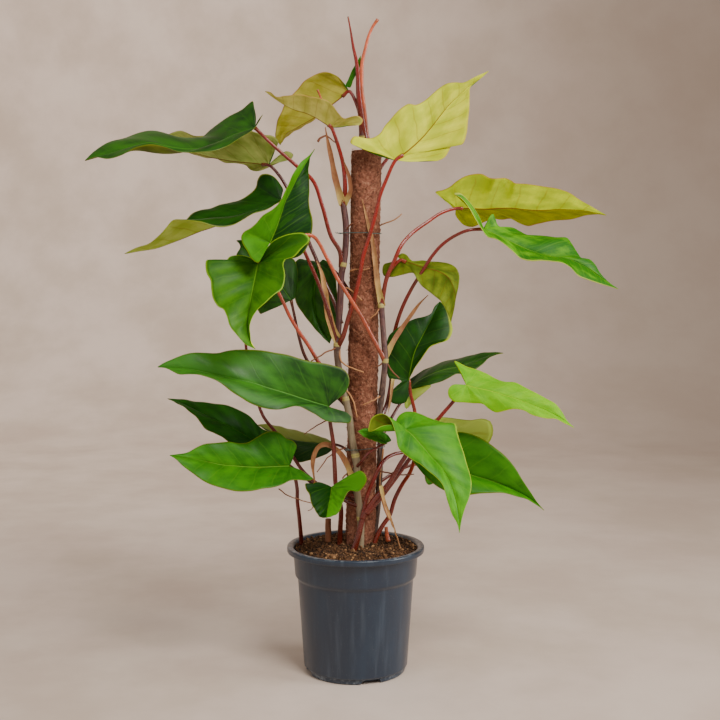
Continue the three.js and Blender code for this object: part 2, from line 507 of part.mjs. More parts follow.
// A leaf blade. The midrib is a curve from base to tip, bowed off its chord at the middle. Each half
// has a width and a lean at the three stations: it leaves the midrib sideways and leans that many
// degrees towards the front, so that the viewer sees the width times the cosine of the lean. Its
// lobe is [length behind the base, lean, flare]. Both faces are split into triangles alike.
function blade(leaf, thickness) {
  const base = vector(leaf.base);
  const tip = vector(leaf.tip);
  const middle = base.clone().add(tip).multiplyScalar(0.5).addScaledVector(vector(leaf.bow), 2);
  const midrib = new THREE.QuadraticBezierCurve3(base, middle, tip);
  const length = base.distanceTo(tip);
  const chord = tip.clone().sub(base).normalize();
  const forward = FRONT.clone().addScaledVector(chord, -FRONT.dot(chord)).normalize();
  const sideways = new THREE.Vector3().crossVectors(forward, chord);
  const upper = leaf.face === 'front' ? 1 : -1;
  const start = midrib.getTangent(0);
  const left = { ...leaf.left, hand: 1, shift: 0 };
  const right = { ...leaf.right, hand: -1, shift: RIPPLE.shift };

  const spine = (along) => {
    if (along < 0) return base.clone().addScaledVector(start, along);
    return midrib.getPoint(along / length);
  };

  // The way a half runs out from the midrib, and the way its upper face looks.
  const direction = (half, along) => {
    const [reach, lobeLean] = half.lobe;
    const behind = smoothstep(-along / reach, 0, 1);
    const lean = degToRad(lerp(blend(half.lean, along / length), lobeLean, behind));
    const out = new THREE.Vector3()
      .addScaledVector(sideways, half.hand * Math.cos(lean))
      .addScaledVector(forward, Math.sin(lean));
    const normal = new THREE.Vector3()
      .addScaledVector(sideways, -upper * half.hand * Math.sin(lean))
      .addScaledVector(forward, upper * Math.cos(lean));
    return { out, normal };
  };

  const ribNormal = (along) => {
    const both = direction(left, along).normal.add(direction(right, along).normal);
    return both.normalize();
  };

  // Where each row leaves the midrib, where it ends along the blade, and its width there.
  const rows = [
    ...MARGIN.map(([rib, end, across]) => (half) => ({
      rib: rib * length,
      end: end * length,
      width: across * blend(half.width, end),
    })),
    ...LOBE.map(([back, across]) => (half) => {
      const [reach, , flare] = half.lobe;
      const spread = lerp(1, flare, Math.min(1, 2 * back));
      return { rib: 0, end: -back * reach, width: across * spread * half.width[2] };
    }),
  ];

  const place = (half, row, column, face) => {
    const { rib, end, width } = rows[row](half);
    const share = column / COLUMNS;
    const along = lerp(rib, end, share);
    const { out, normal } = direction(half, along);
    if (column === 0 || row === 0) normal.copy(ribNormal(along));
    const rise = 4 * share * (1 - share) * FULLNESS * width;
    const swing = leaf.wave * share * share * Math.min(1, width / RIPPLE.width);
    const ripple = swing * Math.sin(RIPPLE.rate * (along / length) + half.shift);
    return spine(along)
      .addScaledVector(out, share * width)
      .addScaledVector(normal, rise + ripple + (face * thickness) / 2);
  };

  const triangles = [];
  const quad = ([a, b, c, d], flip) => {
    const [second, fourth] = flip ? [d, b] : [b, d];
    triangles.push([a, second, c], [a, c, fourth]);
  };
  const last = rows.length - 1;
  for (const half of [left, right]) {
    const flip = half === right;
    const at = (row, column, face) => place(half, row, column, face);
    for (let i = 0; i < last; i++) {
      for (let j = 0; j < COLUMNS; j++) {
        quad([at(i, j, 1), at(i, j + 1, 1), at(i + 1, j + 1, 1), at(i + 1, j, 1)], flip);
        quad([at(i, j, -1), at(i, j + 1, -1), at(i + 1, j + 1, -1), at(i + 1, j, -1)], !flip);
      }
      const edge = [[i, 1], [i, -1], [i + 1, -1], [i + 1, 1]];
      quad(edge.map(([row, face]) => at(row, COLUMNS, face)), flip);
    }
    for (let j = 0; j < COLUMNS; j++) {
      quad([at(last, j, 1), at(last, j + 1, 1), at(last, j + 1, -1), at(last, j, -1)], flip);
    }
  }
  return closedSolid(triangles);
}

// The coir pole leans a little, and its winding is uneven by up to 0.6 mm.
function poleSolid(extra) {
  const foot = vector(POLE.foot);
  const top = vector(POLE.top);
  const rings = [];
  for (let i = 0; i <= POLE.steps; i++) {
    const centre = foot.clone().lerp(top, i / POLE.steps);
    rings.push(Array.from({ length: POLE.sides }, (_, k) => {
      const angle = (2 * Math.PI * k) / POLE.sides;
      const uneven = 0.35 * Math.sin(1.9 * i + 2 * angle) + 0.25 * Math.sin(5 * angle - 1.3 * i);
      const radius = POLE.radius + uneven + extra;
      return new THREE.Vector3(Math.cos(angle) * radius, Math.sin(angle) * radius, 0).add(centre);
    }));
  }
  return closedSolid(skin(rings));
}

// Height of the soil: a low heap round the pole, with clods.
function soilHeight(radius, angle, edge) {
  const share = radius / edge;
  const large = 1.6 * Math.sin(3 * angle + 9 * share) * Math.sin(11 * share);
  const small = 1.1 * Math.sin(7 * angle - 13 * share);
  const fade = Math.min(1, 3 * share) * (1 - 0.5 * share);
  return lerp(SOIL.crown, SOIL.edge, share * share) + (large + small) * fade;
}

// The pot's inner wall, from the rim down to the floor, as [radius, height].
const INNER_WALL = [
  [COLLAR_TOP_RADIUS - WALL, POT_HEIGHT - 3],
  [COLLAR_FOOT_RADIUS - WALL, STEP_HEIGHT],
  [BODY_TOP_RADIUS - WALL, STEP_HEIGHT - STEP_DROP],
  [BODY_FOOT_RADIUS - WALL, FOOT_HEIGHT + 2],
  [FOOT_RADIUS - WALL - 1, FLOOR_TOP],
];

// The root ball fills the pot and keeps its clearance to the wall and the floor.
function soilSolid() {
  const circle = (radius, height) => Array.from({ length: ROUND }, (_, k) => {
    const angle = (2 * Math.PI * k) / ROUND;
    const z = height(radius, angle);
    return new THREE.Vector3(Math.cos(angle) * radius, Math.sin(angle) * radius, z);
  });
  const [brim, ...wall] = INNER_WALL;
  const lowest = FLOOR_TOP + GAP;
  const rings = wall.reverse().map(([r, z]) => circle(r - 2 * GAP, () => Math.max(z, lowest)));
  const edge = brim[0] - 3 * GAP;
  for (let i = SOIL.rings; i >= 1; i--) {
    rings.push(circle((edge * i) / SOIL.rings, (radius, angle) => soilHeight(radius, angle, edge)));
  }
  return closedSolid(skin(rings));
}

function potSolid() {
  const lip = POT_HEIGHT - LIP_HEIGHT;
  const inside = FOOT_RADIUS - FOOT_WIDTH;
  const profile = [
    [0, 0], [HUB_RADIUS, 0], [HUB_RADIUS + 2, FLOOR_UNDER],
    [inside, FLOOR_UNDER], [inside + 1, 0], [FOOT_RADIUS, 0],
    [FOOT_RADIUS, FOOT_HEIGHT - 1.5], [BODY_FOOT_RADIUS, FOOT_HEIGHT],
    [BODY_TOP_RADIUS, STEP_HEIGHT - STEP_DROP], [COLLAR_FOOT_RADIUS, STEP_HEIGHT],
    [COLLAR_TOP_RADIUS, lip], [RIM_RADIUS, lip], [RIM_RADIUS, POT_HEIGHT - RIM_ROUNDING],
    [RIM_RADIUS - RIM_ROUNDING, POT_HEIGHT], [COLLAR_TOP_RADIUS + 2, POT_HEIGHT],
    ...INNER_WALL, [0, FLOOR_TOP],
  ];
  const turned = profile.map(([radius, height]) => new THREE.Vector2(radius, height));
  const shell = new THREE.LatheGeometry(turned, ROUND).rotateX(Math.PI / 2);
  const cutters = [];
  for (let k = 0; k < DRAINS.count; k++) {
    const angle = (2 * Math.PI * k) / DRAINS.count;
    const drain = new THREE.CylinderGeometry(DRAINS.radius, DRAINS.radius, 3 * FLOOR_TOP, 10);
    drain.rotateX(Math.PI / 2);
    drain.translate(Math.cos(angle) * DRAINS.ring, Math.sin(angle) * DRAINS.ring, FLOOR_TOP);
    cutters.push(shapeSolid(drain));
  }
  for (let k = 0; k < NOTCHES.count; k++) {
    const notch = new THREE.BoxGeometry(NOTCHES.width, 2 * FOOT_WIDTH, 2 * NOTCHES.height);
    notch.translate(0, -FOOT_RADIUS, 0);
    notch.rotateZ(degToRad(NOTCHES.first + (360 * k) / NOTCHES.count));
    cutters.push(shapeSolid(notch));
  }
  return cut(shapeSolid(shell), cutters);
}

// A stem's node: a short swelling round the route where it passes the given height.
function nodeRing(shoot, height) {
  const samples = curveThrough(shoot.route).getSpacedPoints(200);
  const at = samples.findIndex((point) => point.z >= height);
  const near = [-3, 0, 3].map((shift) => samples[clamp(at + shift, 0, 200)]);
  const girth = 1.22 * shoot.thick[0];
  return tube(near.map((p) => [p.x, p.y, p.z]), [girth, girth], [girth, girth], 6, 6);
}

function shootSolid(shoot, extra) {
  const { sides = 5, pitch = 26, flat = 1, nodes = [] } = shoot;
  const across = shoot.thick.map((radius) => radius + extra);
  const towards = shoot.thick.map((radius) => radius * flat + extra);
  const body = tube(shoot.route, across, towards, sides, pitch);
  return joined([body, ...nodes.map((height) => nodeRing(shoot, height))]);
}

// A wire tie: a level loop drawn tight round the pole and the stems that pass at its height. In each
// direction it follows whichever of them reaches furthest out.
function tieSolid(height) {
  const share = (height - POLE.foot[2]) / (POLE.top[2] - POLE.foot[2]);
  const centre = vector(POLE.foot).lerp(vector(POLE.top), share);
  const held = [[centre.x, centre.y, POLE.radius + 2 * GAP]];
  for (const shoot of Object.values(VINES).flat().filter(({ name }) => TIED.includes(name))) {
    const samples = curveThrough(shoot.route).getSpacedPoints(200);
    const point = samples.find(({ z }) => Math.abs(z - height) < 2);
    const width = shoot.flat ? 1 : shoot.thick[0];
    if (point) held.push([point.x, point.y, width]);
  }
  const rings = [];
  for (let i = 0; i < ROUND; i++) {
    const angle = (2 * Math.PI * i) / ROUND;
    const [c, s] = [Math.cos(angle), Math.sin(angle)];
    const reachOf = ([x, y, radius]) => x * c + y * s + radius;
    const [x, y, radius] = held.reduce((best, next) => (reachOf(next) > reachOf(best) ? next : best));
    const middle = radius + 2 * GAP + WIRE_RADIUS;
    rings.push([0, 1, 2, 3].map((k) => {
      const turn = (Math.PI * (2 * k + 1)) / 4;
      const out = middle + WIRE_RADIUS * Math.cos(turn);
      return new THREE.Vector3(x + c * out, y + s * out, height + WIRE_RADIUS * Math.sin(turn));
    }));
  }
  const triangles = [];
  rings.forEach((ring, i) => {
    const after = rings[(i + 1) % ROUND];
    for (let k = 0; k < 4; k++) {
      const n = (k + 1) % 4;
      triangles.push([ring[k], ring[n], after[n]], [ring[k], after[n], after[k]]);
    }
  });
  return closedSolid(triangles);
}

// The shoots of a vine are one body, cut back to leave room for the pole and for every blade. Each
// shoot that reaches the soil stands in a hole of its own.
const poleRoom = poleSolid(GAP);
const bladeRoom = LEAVES.map((leaf) => blade(leaf, BLADE_CLEARANCE));
const holes = [poleRoom];
for (const [name, shoots] of Object.entries(VINES)) {
  const whole = joined(shoots.map((shoot) => shootSolid(shoot, 0)));
  addPiece(name, mainBody(cut(whole, [poleRoom, ...bladeRoom])), 'stem');
  for (const shoot of shoots) {
    const lowest = Math.min(...shoot.route.map((point) => point[2]));
    if (lowest < SOIL.edge) holes.push(shootSolid(shoot, GAP));
  }
}
for (const leaf of LEAVES) addPiece(leaf.name, blade(leaf, BLADE_THICKNESS), leaf.green);
for (const [name, height] of Object.entries(TIES)) addPiece(name, tieSolid(height), 'wire');
addPiece('pole', poleSolid(0), 'pole');
addPiece('soil', cut(soilSolid(), holes), 'soil');
addPiece('pot', potSolid(), 'pot');

export default part;
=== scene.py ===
# %% [markdown]
# # A red emerald philodendron on a coir pole
#
# The plant is measured in millimetres and built in metres, with +Z up, +X to the viewer's right and
# -Y to the front. The origin is the middle of the pot's underside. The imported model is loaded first.
# Its plain solids stay where they are for weight and collision, and each is replaced here by a finer
# surface of the same form.

import bpy
import numpy as np
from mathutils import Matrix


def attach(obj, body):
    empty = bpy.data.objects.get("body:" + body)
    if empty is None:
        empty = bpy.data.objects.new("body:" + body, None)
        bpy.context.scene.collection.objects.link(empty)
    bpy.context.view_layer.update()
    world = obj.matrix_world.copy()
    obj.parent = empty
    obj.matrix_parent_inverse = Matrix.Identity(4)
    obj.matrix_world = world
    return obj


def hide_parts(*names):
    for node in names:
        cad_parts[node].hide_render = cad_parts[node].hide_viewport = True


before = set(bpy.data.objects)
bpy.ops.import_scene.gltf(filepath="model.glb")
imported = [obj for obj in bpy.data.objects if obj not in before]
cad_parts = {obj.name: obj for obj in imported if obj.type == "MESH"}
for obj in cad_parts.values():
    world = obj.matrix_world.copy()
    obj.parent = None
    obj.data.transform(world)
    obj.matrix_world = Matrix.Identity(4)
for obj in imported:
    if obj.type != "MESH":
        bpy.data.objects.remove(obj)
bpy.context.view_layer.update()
MM = 0.001

# %% [markdown]
# ## Surfaces from grids
#
# Every piece of this plant is a sheet or a tube, so one way of building serves them all: points on a
# grid of rows and columns, worked out as whole arrays, and a quad between each four neighbours. A
# piece could be modelled by hand with loops and extrusions instead, but a grid keeps the link between
# a shape and its formula, and each point can carry numbers for the material to read, such as how far
# it is from the midrib.

# %% Quads, meshes and pieces
def full_turn(count):
    """Angles of count points round a circle."""
    return np.linspace(0, 2 * np.pi, count, endpoint=False)


def grid_quads(rows, columns, wrap=False):
    """Corner numbers of the quads between neighbouring points of a grid kept row by row.

    With wrap, the last column is joined to the first, so that each row is a closed ring."""
    i = np.arange(rows - 1)[:, None]
    j = np.arange(columns if wrap else columns - 1)[None, :]
    k = (j + 1) % columns
    corners = [i * columns + j, i * columns + k, (i + 1) * columns + k, (i + 1) * columns + j]
    return np.stack(np.broadcast_arrays(*corners), axis=-1).reshape(-1, 4)


def tube_faces(rows, columns):
    """Faces of a closed tube whose rows are rings: its skin, and a flat face over each end."""
    ring = np.arange(columns)[None, :]
    return [grid_quads(rows, columns, wrap=True), ring[:, ::-1], (rows - 1) * columns + ring]


def make_piece(name, points, faces, finish, slot, stands_for=(), **numbers):
    """Makes one object from points in mm, a list of face arrays, and numbers kept on the points."""
    mesh = bpy.data.meshes.new(name)
    mesh.vertices.add(len(points))
    mesh.vertices.foreach_set("co", np.asarray(points * MM, np.float32).ravel())
    sizes = np.concatenate([np.full(len(group), group.shape[1]) for group in faces])
    corners = np.concatenate([group.ravel() for group in faces])
    mesh.loops.add(len(corners))
    mesh.loops.foreach_set("vertex_index", corners.astype(np.int32))
    mesh.polygons.add(len(sizes))
    mesh.polygons.foreach_set("loop_start", (np.cumsum(sizes) - sizes).astype(np.int32))
    mesh.polygons.foreach_set("use_smooth", np.ones(len(sizes), bool))
    for key, values in numbers.items():
        attribute = mesh.attributes.new(key, "FLOAT", "POINT")
        attribute.data.foreach_set("value", np.asarray(values, np.float32).ravel())
    mesh.update(calc_edges=True)
    mesh.validate()
    mesh.materials.append(finish.material)
    piece = bpy.data.objects.new(name, mesh)
    bpy.context.collection.objects.link(piece)
    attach(piece, "root")
    if stands_for:
        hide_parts(*stands_for)
    print(name, "triangles:", int((sizes - 2).sum()))


# %% [markdown]
# Uneven things, such as clods and fibres, need noise that is the same on every run. A noise texture
# could displace a mesh, but a sum of sine waves in fixed random directions is enough, and it is one
# matrix product for any number of points.

# %% Noise as a sum of waves
def waves(points, size, seed, count=20):
    """Smooth noise of about -1 to 1: the mean of sines in random directions, its hills size mm apart."""
    random = np.random.default_rng(seed)
    ways = random.normal(size=(count, 3))
    ways /= np.linalg.norm(ways, axis=1, keepdims=True)
    ways *= 2 * np.pi / size * random.uniform(0.6, 1.5, (count, 1))
    phases = random.uniform(0, 2 * np.pi, count)
    return np.sin(points @ ways.T + phases).sum(axis=-1) / np.sqrt(count)


def smoothstep(value, low, high):
    """0 below low, 1 above high, and a smooth S between them."""
    share = np.clip((value - low) / (high - low), 0, 1)
    return share * share * (3 - 2 * share)


def unit(vectors):
    """The vectors, each divided by its own length."""
    return vectors / np.maximum(np.linalg.norm(vectors, axis=-1, keepdims=True), 1e-9)


def lengths(points):
    """The distance from the first point to each point, along the straight lines between them."""
    gaps = np.linalg.norm(np.diff(points[:, :3], axis=0), axis=1)
    return np.concatenate([[0.0], np.cumsum(gaps)])


# %% [markdown]
# ## Finishes as expressions
#
# A material is a graph of nodes, and wiring it by hand hides the sum behind it. Here a socket is
# wrapped, so that `1 - mask` or `noise * 0.3` adds its Math nodes by itself and a finish reads like
# its formula. Colours are mixed by Mix nodes, because a Math node would turn them grey.

# %% A wrapped socket and a finish
class Value:
    """A number that varies over a surface. Arithmetic with it adds Math nodes to its finish."""

    def __init__(self, finish, socket):
        self.finish, self.socket = finish, socket

    def maths(self, operation, first, second=0.0):
        return self.finish.node("ShaderNodeMath", {"operation": operation}, {0: first, 1: second})

    def __add__(self, other):
        return self.maths("ADD", self, other)

    def __sub__(self, other):
        return self.maths("SUBTRACT", self, other)

    def __rsub__(self, other):
        return self.maths("SUBTRACT", other, self)

    def __mul__(self, other):
        return self.maths("MULTIPLY", self, other)

    def __abs__(self):
        return self.maths("ABSOLUTE", self)

    def zigzag(self, top):
        """Rises to top and falls back to 0, over and over."""
        return self.maths("PINGPONG", self, top)

    __radd__ = __add__
    __rmul__ = __mul__


class Finish:
    """A material in the making: one shader whose fixed numbers are set at once, and its nodes."""

    def __init__(self, name, **fixed):
        self.material = bpy.data.materials.new(name)
        self.material.use_nodes = True
        self.tree = self.material.node_tree
        self.shader = self.tree.nodes["Principled BSDF"]
        for socket, value in fixed.items():
            self.shader.inputs[socket.replace("_", " ")].default_value = value

    def node(self, kind, settings=None, inputs=None, output=0):
        """Adds a node of a kind, sets it up, then fills its sockets with numbers or links."""
        node = self.tree.nodes.new(kind)
        for key, value in (settings or {}).items():
            setattr(node, key, value)
        for key, value in (inputs or {}).items():
            self.fill(node.inputs[key], value)
        return Value(self, node.outputs[output])

    def fill(self, socket, value):
        if isinstance(value, Value):
            self.tree.links.new(value.socket, socket)
        else:
            socket.default_value = value

    def number(self, key):
        """A number that the mesh keeps on its points."""
        return self.node("ShaderNodeAttribute", {"attribute_name": key}, output="Fac")

    def place(self, stretch=(1, 1, 1)):
        """The point's place in the object, in metres, stretched along the axes."""
        spot = self.node("ShaderNodeTexCoord", output="Object")
        return self.node("ShaderNodeVectorMath", {"operation": "MULTIPLY"}, {0: spot, 1: stretch})

    def along(self, axis):
        """The point's place along one axis, in metres: 0 is X and 2 is Z."""
        return self.node("ShaderNodeSeparateXYZ", None, {0: self.place()}, axis)

    def together(self, x, y, z=0.0):
        return self.node("ShaderNodeCombineXYZ", None, {0: x, 1: y, 2: z})

    def noise(self, at, scale, detail=3.0, rough=0.55):
        sockets = {"Vector": at, "Scale": scale, "Detail": detail, "Roughness": rough}
        return self.node("ShaderNodeTexNoise", None, sockets)

    def ramp(self, value, low, high):
        """0 where value is at low, 1 where it is at high, and a smooth S between them."""
        sockets = {0: value, 1: low, 2: high}
        return self.node("ShaderNodeMapRange", {"interpolation_type": "SMOOTHSTEP"}, sockets)

    def mix(self, share, first, second):
        """The first colour where share is 0 and the second where it is 1."""
        first, second = (c if isinstance(c, Value) else (*c, 1) for c in (first, second))
        return self.node("ShaderNodeMix", {"data_type": "RGBA"}, {0: share, 6: first, 7: second}, 2)

    def set(self, socket, value):
        self.fill(self.shader.inputs[socket], value)

    def bump(self, height, depth):
        """Relief of a depth in mm where height goes from 0 to 1."""
        sockets = {"Height": height, "Distance": depth * MM, "Strength": 1.0}
        self.set("Normal", self.node("ShaderNodeBump", None, sockets))

    def report(self):
        print("finish", self.material.name, "nodes:", len(self.tree.nodes))


def rgb(red, green, blue):
    """A colour given in screen values of 0 to 255, as the linear values that a shader takes."""
    screen = np.array([red, green, blue]) / 255
    linear = np.where(screen < 0.04045, screen / 12.92, ((screen + 0.055) / 1.055) ** 2.4)
    return tuple(float(part) for part in linear)


# %% [markdown]
# ## Camera, floor and light
#
# The view is level with the middle of the plant and looks down by a few degrees, through a long lens
# at 1.6 m, so the pot's rim is a narrow ellipse. The same numbers work backwards: a pixel and a depth
# give one place in the room. The leaves and shoots further down are kept as such readings.

# %% Camera
EYE = np.array([6.0, -1604.0, 560.0])
TILT = np.radians(4.574)
LENS, SENSOR, FRAME_SIDE = 58.75, 36, 720
FOCAL = LENS * FRAME_SIDE / SENSOR  # the lens in pixels

camera = bpy.data.objects.new("camera", bpy.data.cameras.new("camera"))
camera.data.lens = LENS
camera.data.sensor_width = SENSOR
camera.location = EYE * MM
camera.rotation_euler = (np.pi / 2 - TILT, 0, 0)
bpy.context.collection.objects.link(camera)
bpy.context.scene.camera = camera


def seen(points):
    """Places in mm of points read as (pixels across, pixels down, depth), where the depth is the Y.

    The ray from the camera through the pixel is followed to that depth. Places are rounded to whole
    millimetres, which is finer than they can be read."""
    points = np.array(points, float)
    across, down = ((points[:, k] - FRAME_SIDE / 2) / FOCAL for k in (0, 1))
    reach = (points[:, 2] - EYE[1]) / (np.cos(TILT) - down * np.sin(TILT))
    height = EYE[2] - reach * (np.sin(TILT) + down * np.cos(TILT))
    return np.round(np.column_stack([EYE[0] + reach * across, points[:, 2], height]))


print("camera:", EYE, "middle of the frame:", seen([(360, 360, 0)])[0])

# %% [markdown]
# A studio sweep, a floor that curves up into a wall, has no edge behind the plant. A plane and a wall
# would do, but their corner would cross the view.

# %% Studio floor
BEND_START, BEND_RADIUS, SWEEP_HALF, SWEEP_HEIGHT = 2.0, 1.2, 6, 7


def sweep_profile():
    """Depth and height in metres: level floor, a quarter circle, then a straight wall."""
    bend = np.linspace(0, np.pi / 2, 24)
    backward = BEND_START + BEND_RADIUS * np.sin(bend)
    upward = BEND_RADIUS - BEND_RADIUS * np.cos(bend)
    curve = np.stack([backward, upward], axis=1)
    return np.concatenate([[(-SWEEP_HALF, 0)], curve, [(BEND_START + BEND_RADIUS, SWEEP_HEIGHT)]])


ground = Finish("pale_paper", Roughness=0.85, Specular_IOR_Level=0.2)
mottle = ground.noise(ground.place(), 3.5, 5, 0.6)
paper = ground.mix(ground.ramp(mottle, 0.3, 0.7), rgb(206, 186, 170), rgb(226, 208, 194))
# painted shade: the paper is painted darker towards the right, where less light falls on it
shade = ground.ramp(ground.along(0), -0.2, 1.3) * 0.75
ground.set("Base Color", ground.mix(shade, paper, rgb(164, 146, 132)))
profile, across = sweep_profile(), np.linspace(-SWEEP_HALF, SWEEP_HALF, 5)
sweep = [(x, y, z) for y, z in profile for x in across]
floor_mesh = bpy.data.meshes.new("floor")
floor_mesh.from_pydata(sweep, [], grid_quads(len(profile), len(across))[:, ::-1].tolist())
floor_mesh.polygons.foreach_set("use_smooth", np.ones(len(floor_mesh.polygons), bool))
floor_mesh.materials.append(ground.material)
floor = bpy.data.objects.new("floor", floor_mesh)
floor.location.z = -0.0005
bpy.context.collection.objects.link(floor)
ground.report()

# %% [markdown]
# The light is soft and comes from above and a little to the right, as from a large window, with a
# weaker fill from the left that keeps the undersides of the leaves from going black. Large square
# lamps do this. A sun lamp would draw hard shadows of every stalk.

# %% Light
def soft_light(name, place, target, size, power, colour):
    """A square lamp of a size in metres that looks from a place at a target."""
    lamp = bpy.data.lights.new(name, "AREA")
    lamp.size, lamp.energy, lamp.color = size, power, colour
    light = bpy.data.objects.new(name, lamp)
    light.location = place
    way = np.array(target) - np.array(place)
    light.rotation_euler = (np.arctan2(np.hypot(way[0], way[1]), -way[2]), 0, np.arctan2(-way[0], way[1]))
    bpy.context.collection.objects.link(light)
    print("lamp", name, "watts:", power)


soft_light("key", (0.8, -1.5, 2.2), (0, 0, 0.45), 0.9, 52, (1, 0.97, 0.92))
soft_light("side", (2.0, -0.5, 0.9), (0, 0, 0.3), 0.8, 27, (1, 0.99, 0.98))
soft_light("fill", (-1.8, -1.6, 1.0), (0, 0, 0.5), 1.6, 9, (0.95, 0.97, 1))
soft_light("wall_left", (-1.2, 1.2, 2.2), (-1.0, 3.2, 0.9), 1.6, 30, (1, 0.95, 0.9))
world = bpy.data.worlds.new("studio")
world.use_nodes = True
world.node_tree.nodes["Background"].inputs["Color"].default_value = (0.52, 0.48, 0.44, 1)
world.node_tree.nodes["Background"].inputs["Strength"].default_value = 0.8
bpy.context.scene.world = world

# %% [markdown]
# ## The nursery pot
#
# The real pot is injection moulded: a thin slate-grey wall that tapers downwards, a collar under a
# small lip, and a foot ring with four notches that let water out. It is a profile turned round an
# axis, so it could be made with a Screw modifier. Here the profile is turned with numpy instead,
# because the notches are then one more term in the height of the foot ring.

# %% Pot shape
FLOOR_UNDER, FLOOR_TOP = 2.5, 5.0
FOOT_INNER, FOOT_OUTER = 63, 69
# radius and height: under the foot, up the outside, over the lip and down the inside to the floor
POT_PROFILE = np.array([
    (FOOT_INNER, FLOOR_UNDER), (64, 0.6), (65, 0), (68, 0), (FOOT_OUTER, 1), (FOOT_OUTER, 6.5), (72, 8),
    (80.2, 129), (80.6, 130.2), (83.4, 133.8), (84, 135), (86.5, 166.5), (87.2, 167), (94, 167), (95, 167.8),
    (95, 173.5), (94.5, 174.6), (93.4, 175), (89, 175), (87.6, 174.5), (84.9, 172), (82.2, 135),
    (78.4, 129), (70.2, 10), (66.2, FLOOR_TOP), (FOOT_INNER, FLOOR_TOP),
])
NOTCH_TURN, NOTCH_SPACING = 18, 90  # degrees from the front to a notch, and from one to the next
NOTCH_SIDE = (12.2, 13.4)  # its side rises between these distances from its middle
NOTCH_TOP = 5.4


def rounded(profile, step, corner):
    """A profile resampled at a step, its corners rounded: each point moves to the mean of the line
    within a corner's length on either side of it."""
    along = lengths(profile)
    at = np.linspace(0, along[-1], int(along[-1] / step) + 1)
    around = np.clip(at[:, None] + np.linspace(-corner, corner, 9)[None, :], 0, along[-1])
    return np.stack([np.interp(around, along, profile[:, k]).mean(axis=1) for k in (0, 1)], axis=1)


def turned_pot(around=192):
    """The pot as [point, angle]: the profile turned round Z, with the outer lower edge of the foot
    raised to a notch's top near the middle of each notch."""
    profile = rounded(POT_PROFILE, 1.3, 0.5)
    radius, height = profile[:, :1], profile[:, 1:]
    turn = full_turn(around)[None, :]
    half = NOTCH_SPACING / 2
    off_notch = np.abs((np.degrees(turn) - 270 - NOTCH_TURN + half) % NOTCH_SPACING - half)
    notch = 1 - smoothstep(off_notch * np.pi / 180 * FOOT_OUTER, *NOTCH_SIDE)
    outside = np.arange(len(radius))[:, None] < len(radius) // 2
    on_foot = (radius > 62.5) & (height < 6.6) & outside
    z = height + np.where(on_foot, notch * (np.maximum(height, NOTCH_TOP) - height), 0)
    return np.stack(np.broadcast_arrays(radius * np.cos(turn), radius * np.sin(turn), z), axis=-1)


pot_grid = turned_pot()
rings, around = pot_grid.shape[:2]
# the grid's last ring meets its first, where the wall joins the floor
k = np.arange(around)
after = (k + 1) % around
wall_end = np.stack([(rings - 1) * around + k, (rings - 1) * around + after, after, k], axis=-1)
print("pot rings:", rings, "points round each:", around)

# %% [markdown]
# The plastic is satin, a little dusty, and carries faint upright streaks from handling and water. Its
# lip and foot are scuffed pale. Where a lamp's reflection falls, small changes of roughness matter
# more than colour, so most of the detail is there. A fine bump breaks up the reflection as the grain
# of a mould does. A painted image would do too, but noise has no seam.

# %% Pot finish
slate = Finish("slate_plastic", Specular_IOR_Level=0.5, Coat_Roughness=0.25)
spot, height = slate.place(), slate.along(2)
dust = slate.ramp(slate.noise(slate.place((1, 1, 0.35)), 26, 6, 0.65), 0.42, 0.72)
streaks = slate.ramp(slate.noise(slate.place((1, 1, 0.06)), 90, 4, 0.6), 0.5, 0.75)
specks = slate.ramp(slate.noise(spot, 900, 2, 0.5), 0.68, 0.76)
colour = slate.mix(dust * 0.5, rgb(26, 42, 60), rgb(40, 58, 76))
colour = slate.mix(streaks * 0.25, colour, rgb(84, 98, 112))
edges = slate.ramp(height, 0.011, 0.004) + slate.ramp(height, 0.1735, 0.1748)
scuffs = edges * slate.ramp(slate.noise(spot, 160, 5, 0.7), 0.46, 0.66)
colour = slate.mix(scuffs * 0.55, colour, rgb(128, 138, 146))
slate.set("Base Color", slate.mix(specks * 0.35, colour, rgb(140, 138, 130)))
slate.set("Roughness", 0.3 + dust * 0.12 + streaks * 0.08 + specks * 0.2)
slate.set("Coat Weight", 0.25 - dust * 0.1)
slate.bump(slate.noise(spot, 700, 3) * 0.6 + slate.noise(spot, 60, 3) * 0.4, 0.12)
slate.report()

# %% [markdown]
# The floor of the pot is a flat ring between the hub and the foot, with six drain holes. Holes are
# often cut with a Boolean modifier, which leaves long thin faces. Here the grid runs from each hole's
# edge outwards to the edges of that hole's share of the ring, so that nothing has to be cut.

# %% Pot floor
DRAINS, DRAIN_RING, DRAIN_RADIUS = 6, 45, 6
HUB_RADIUS, HUB_SIDES = 20, 64


def drained_floor(z, count=64, steps=8):
    """Six patches round the six holes. Round one hole, a ray at each angle is followed from the hole's
    edge to the border of its sixth of the ring, in radius and turn, and points are spread along it."""
    turn = full_turn(count) + np.pi / count
    inner, outer, half = HUB_RADIUS - DRAIN_RING, FOOT_INNER - DRAIN_RING, np.pi / DRAINS
    wide, high = np.cos(turn), np.sin(turn) / DRAIN_RING
    reach_wide = np.where(wide > 0, outer, inner) / wide
    reach_high = np.where(high > 0, half, -half) / high
    reach = np.minimum(reach_wide, reach_high)
    share = np.linspace(0, 1, steps)[:, None]
    reached = DRAIN_RADIUS + (reach - DRAIN_RADIUS) * share
    radius = (DRAIN_RING + wide * reached)[None]
    angle = high * reached + 2 * np.pi * np.arange(DRAINS)[:, None, None] / DRAINS
    return np.stack([radius * np.cos(angle), radius * np.sin(angle), np.full_like(angle, z)], -1)


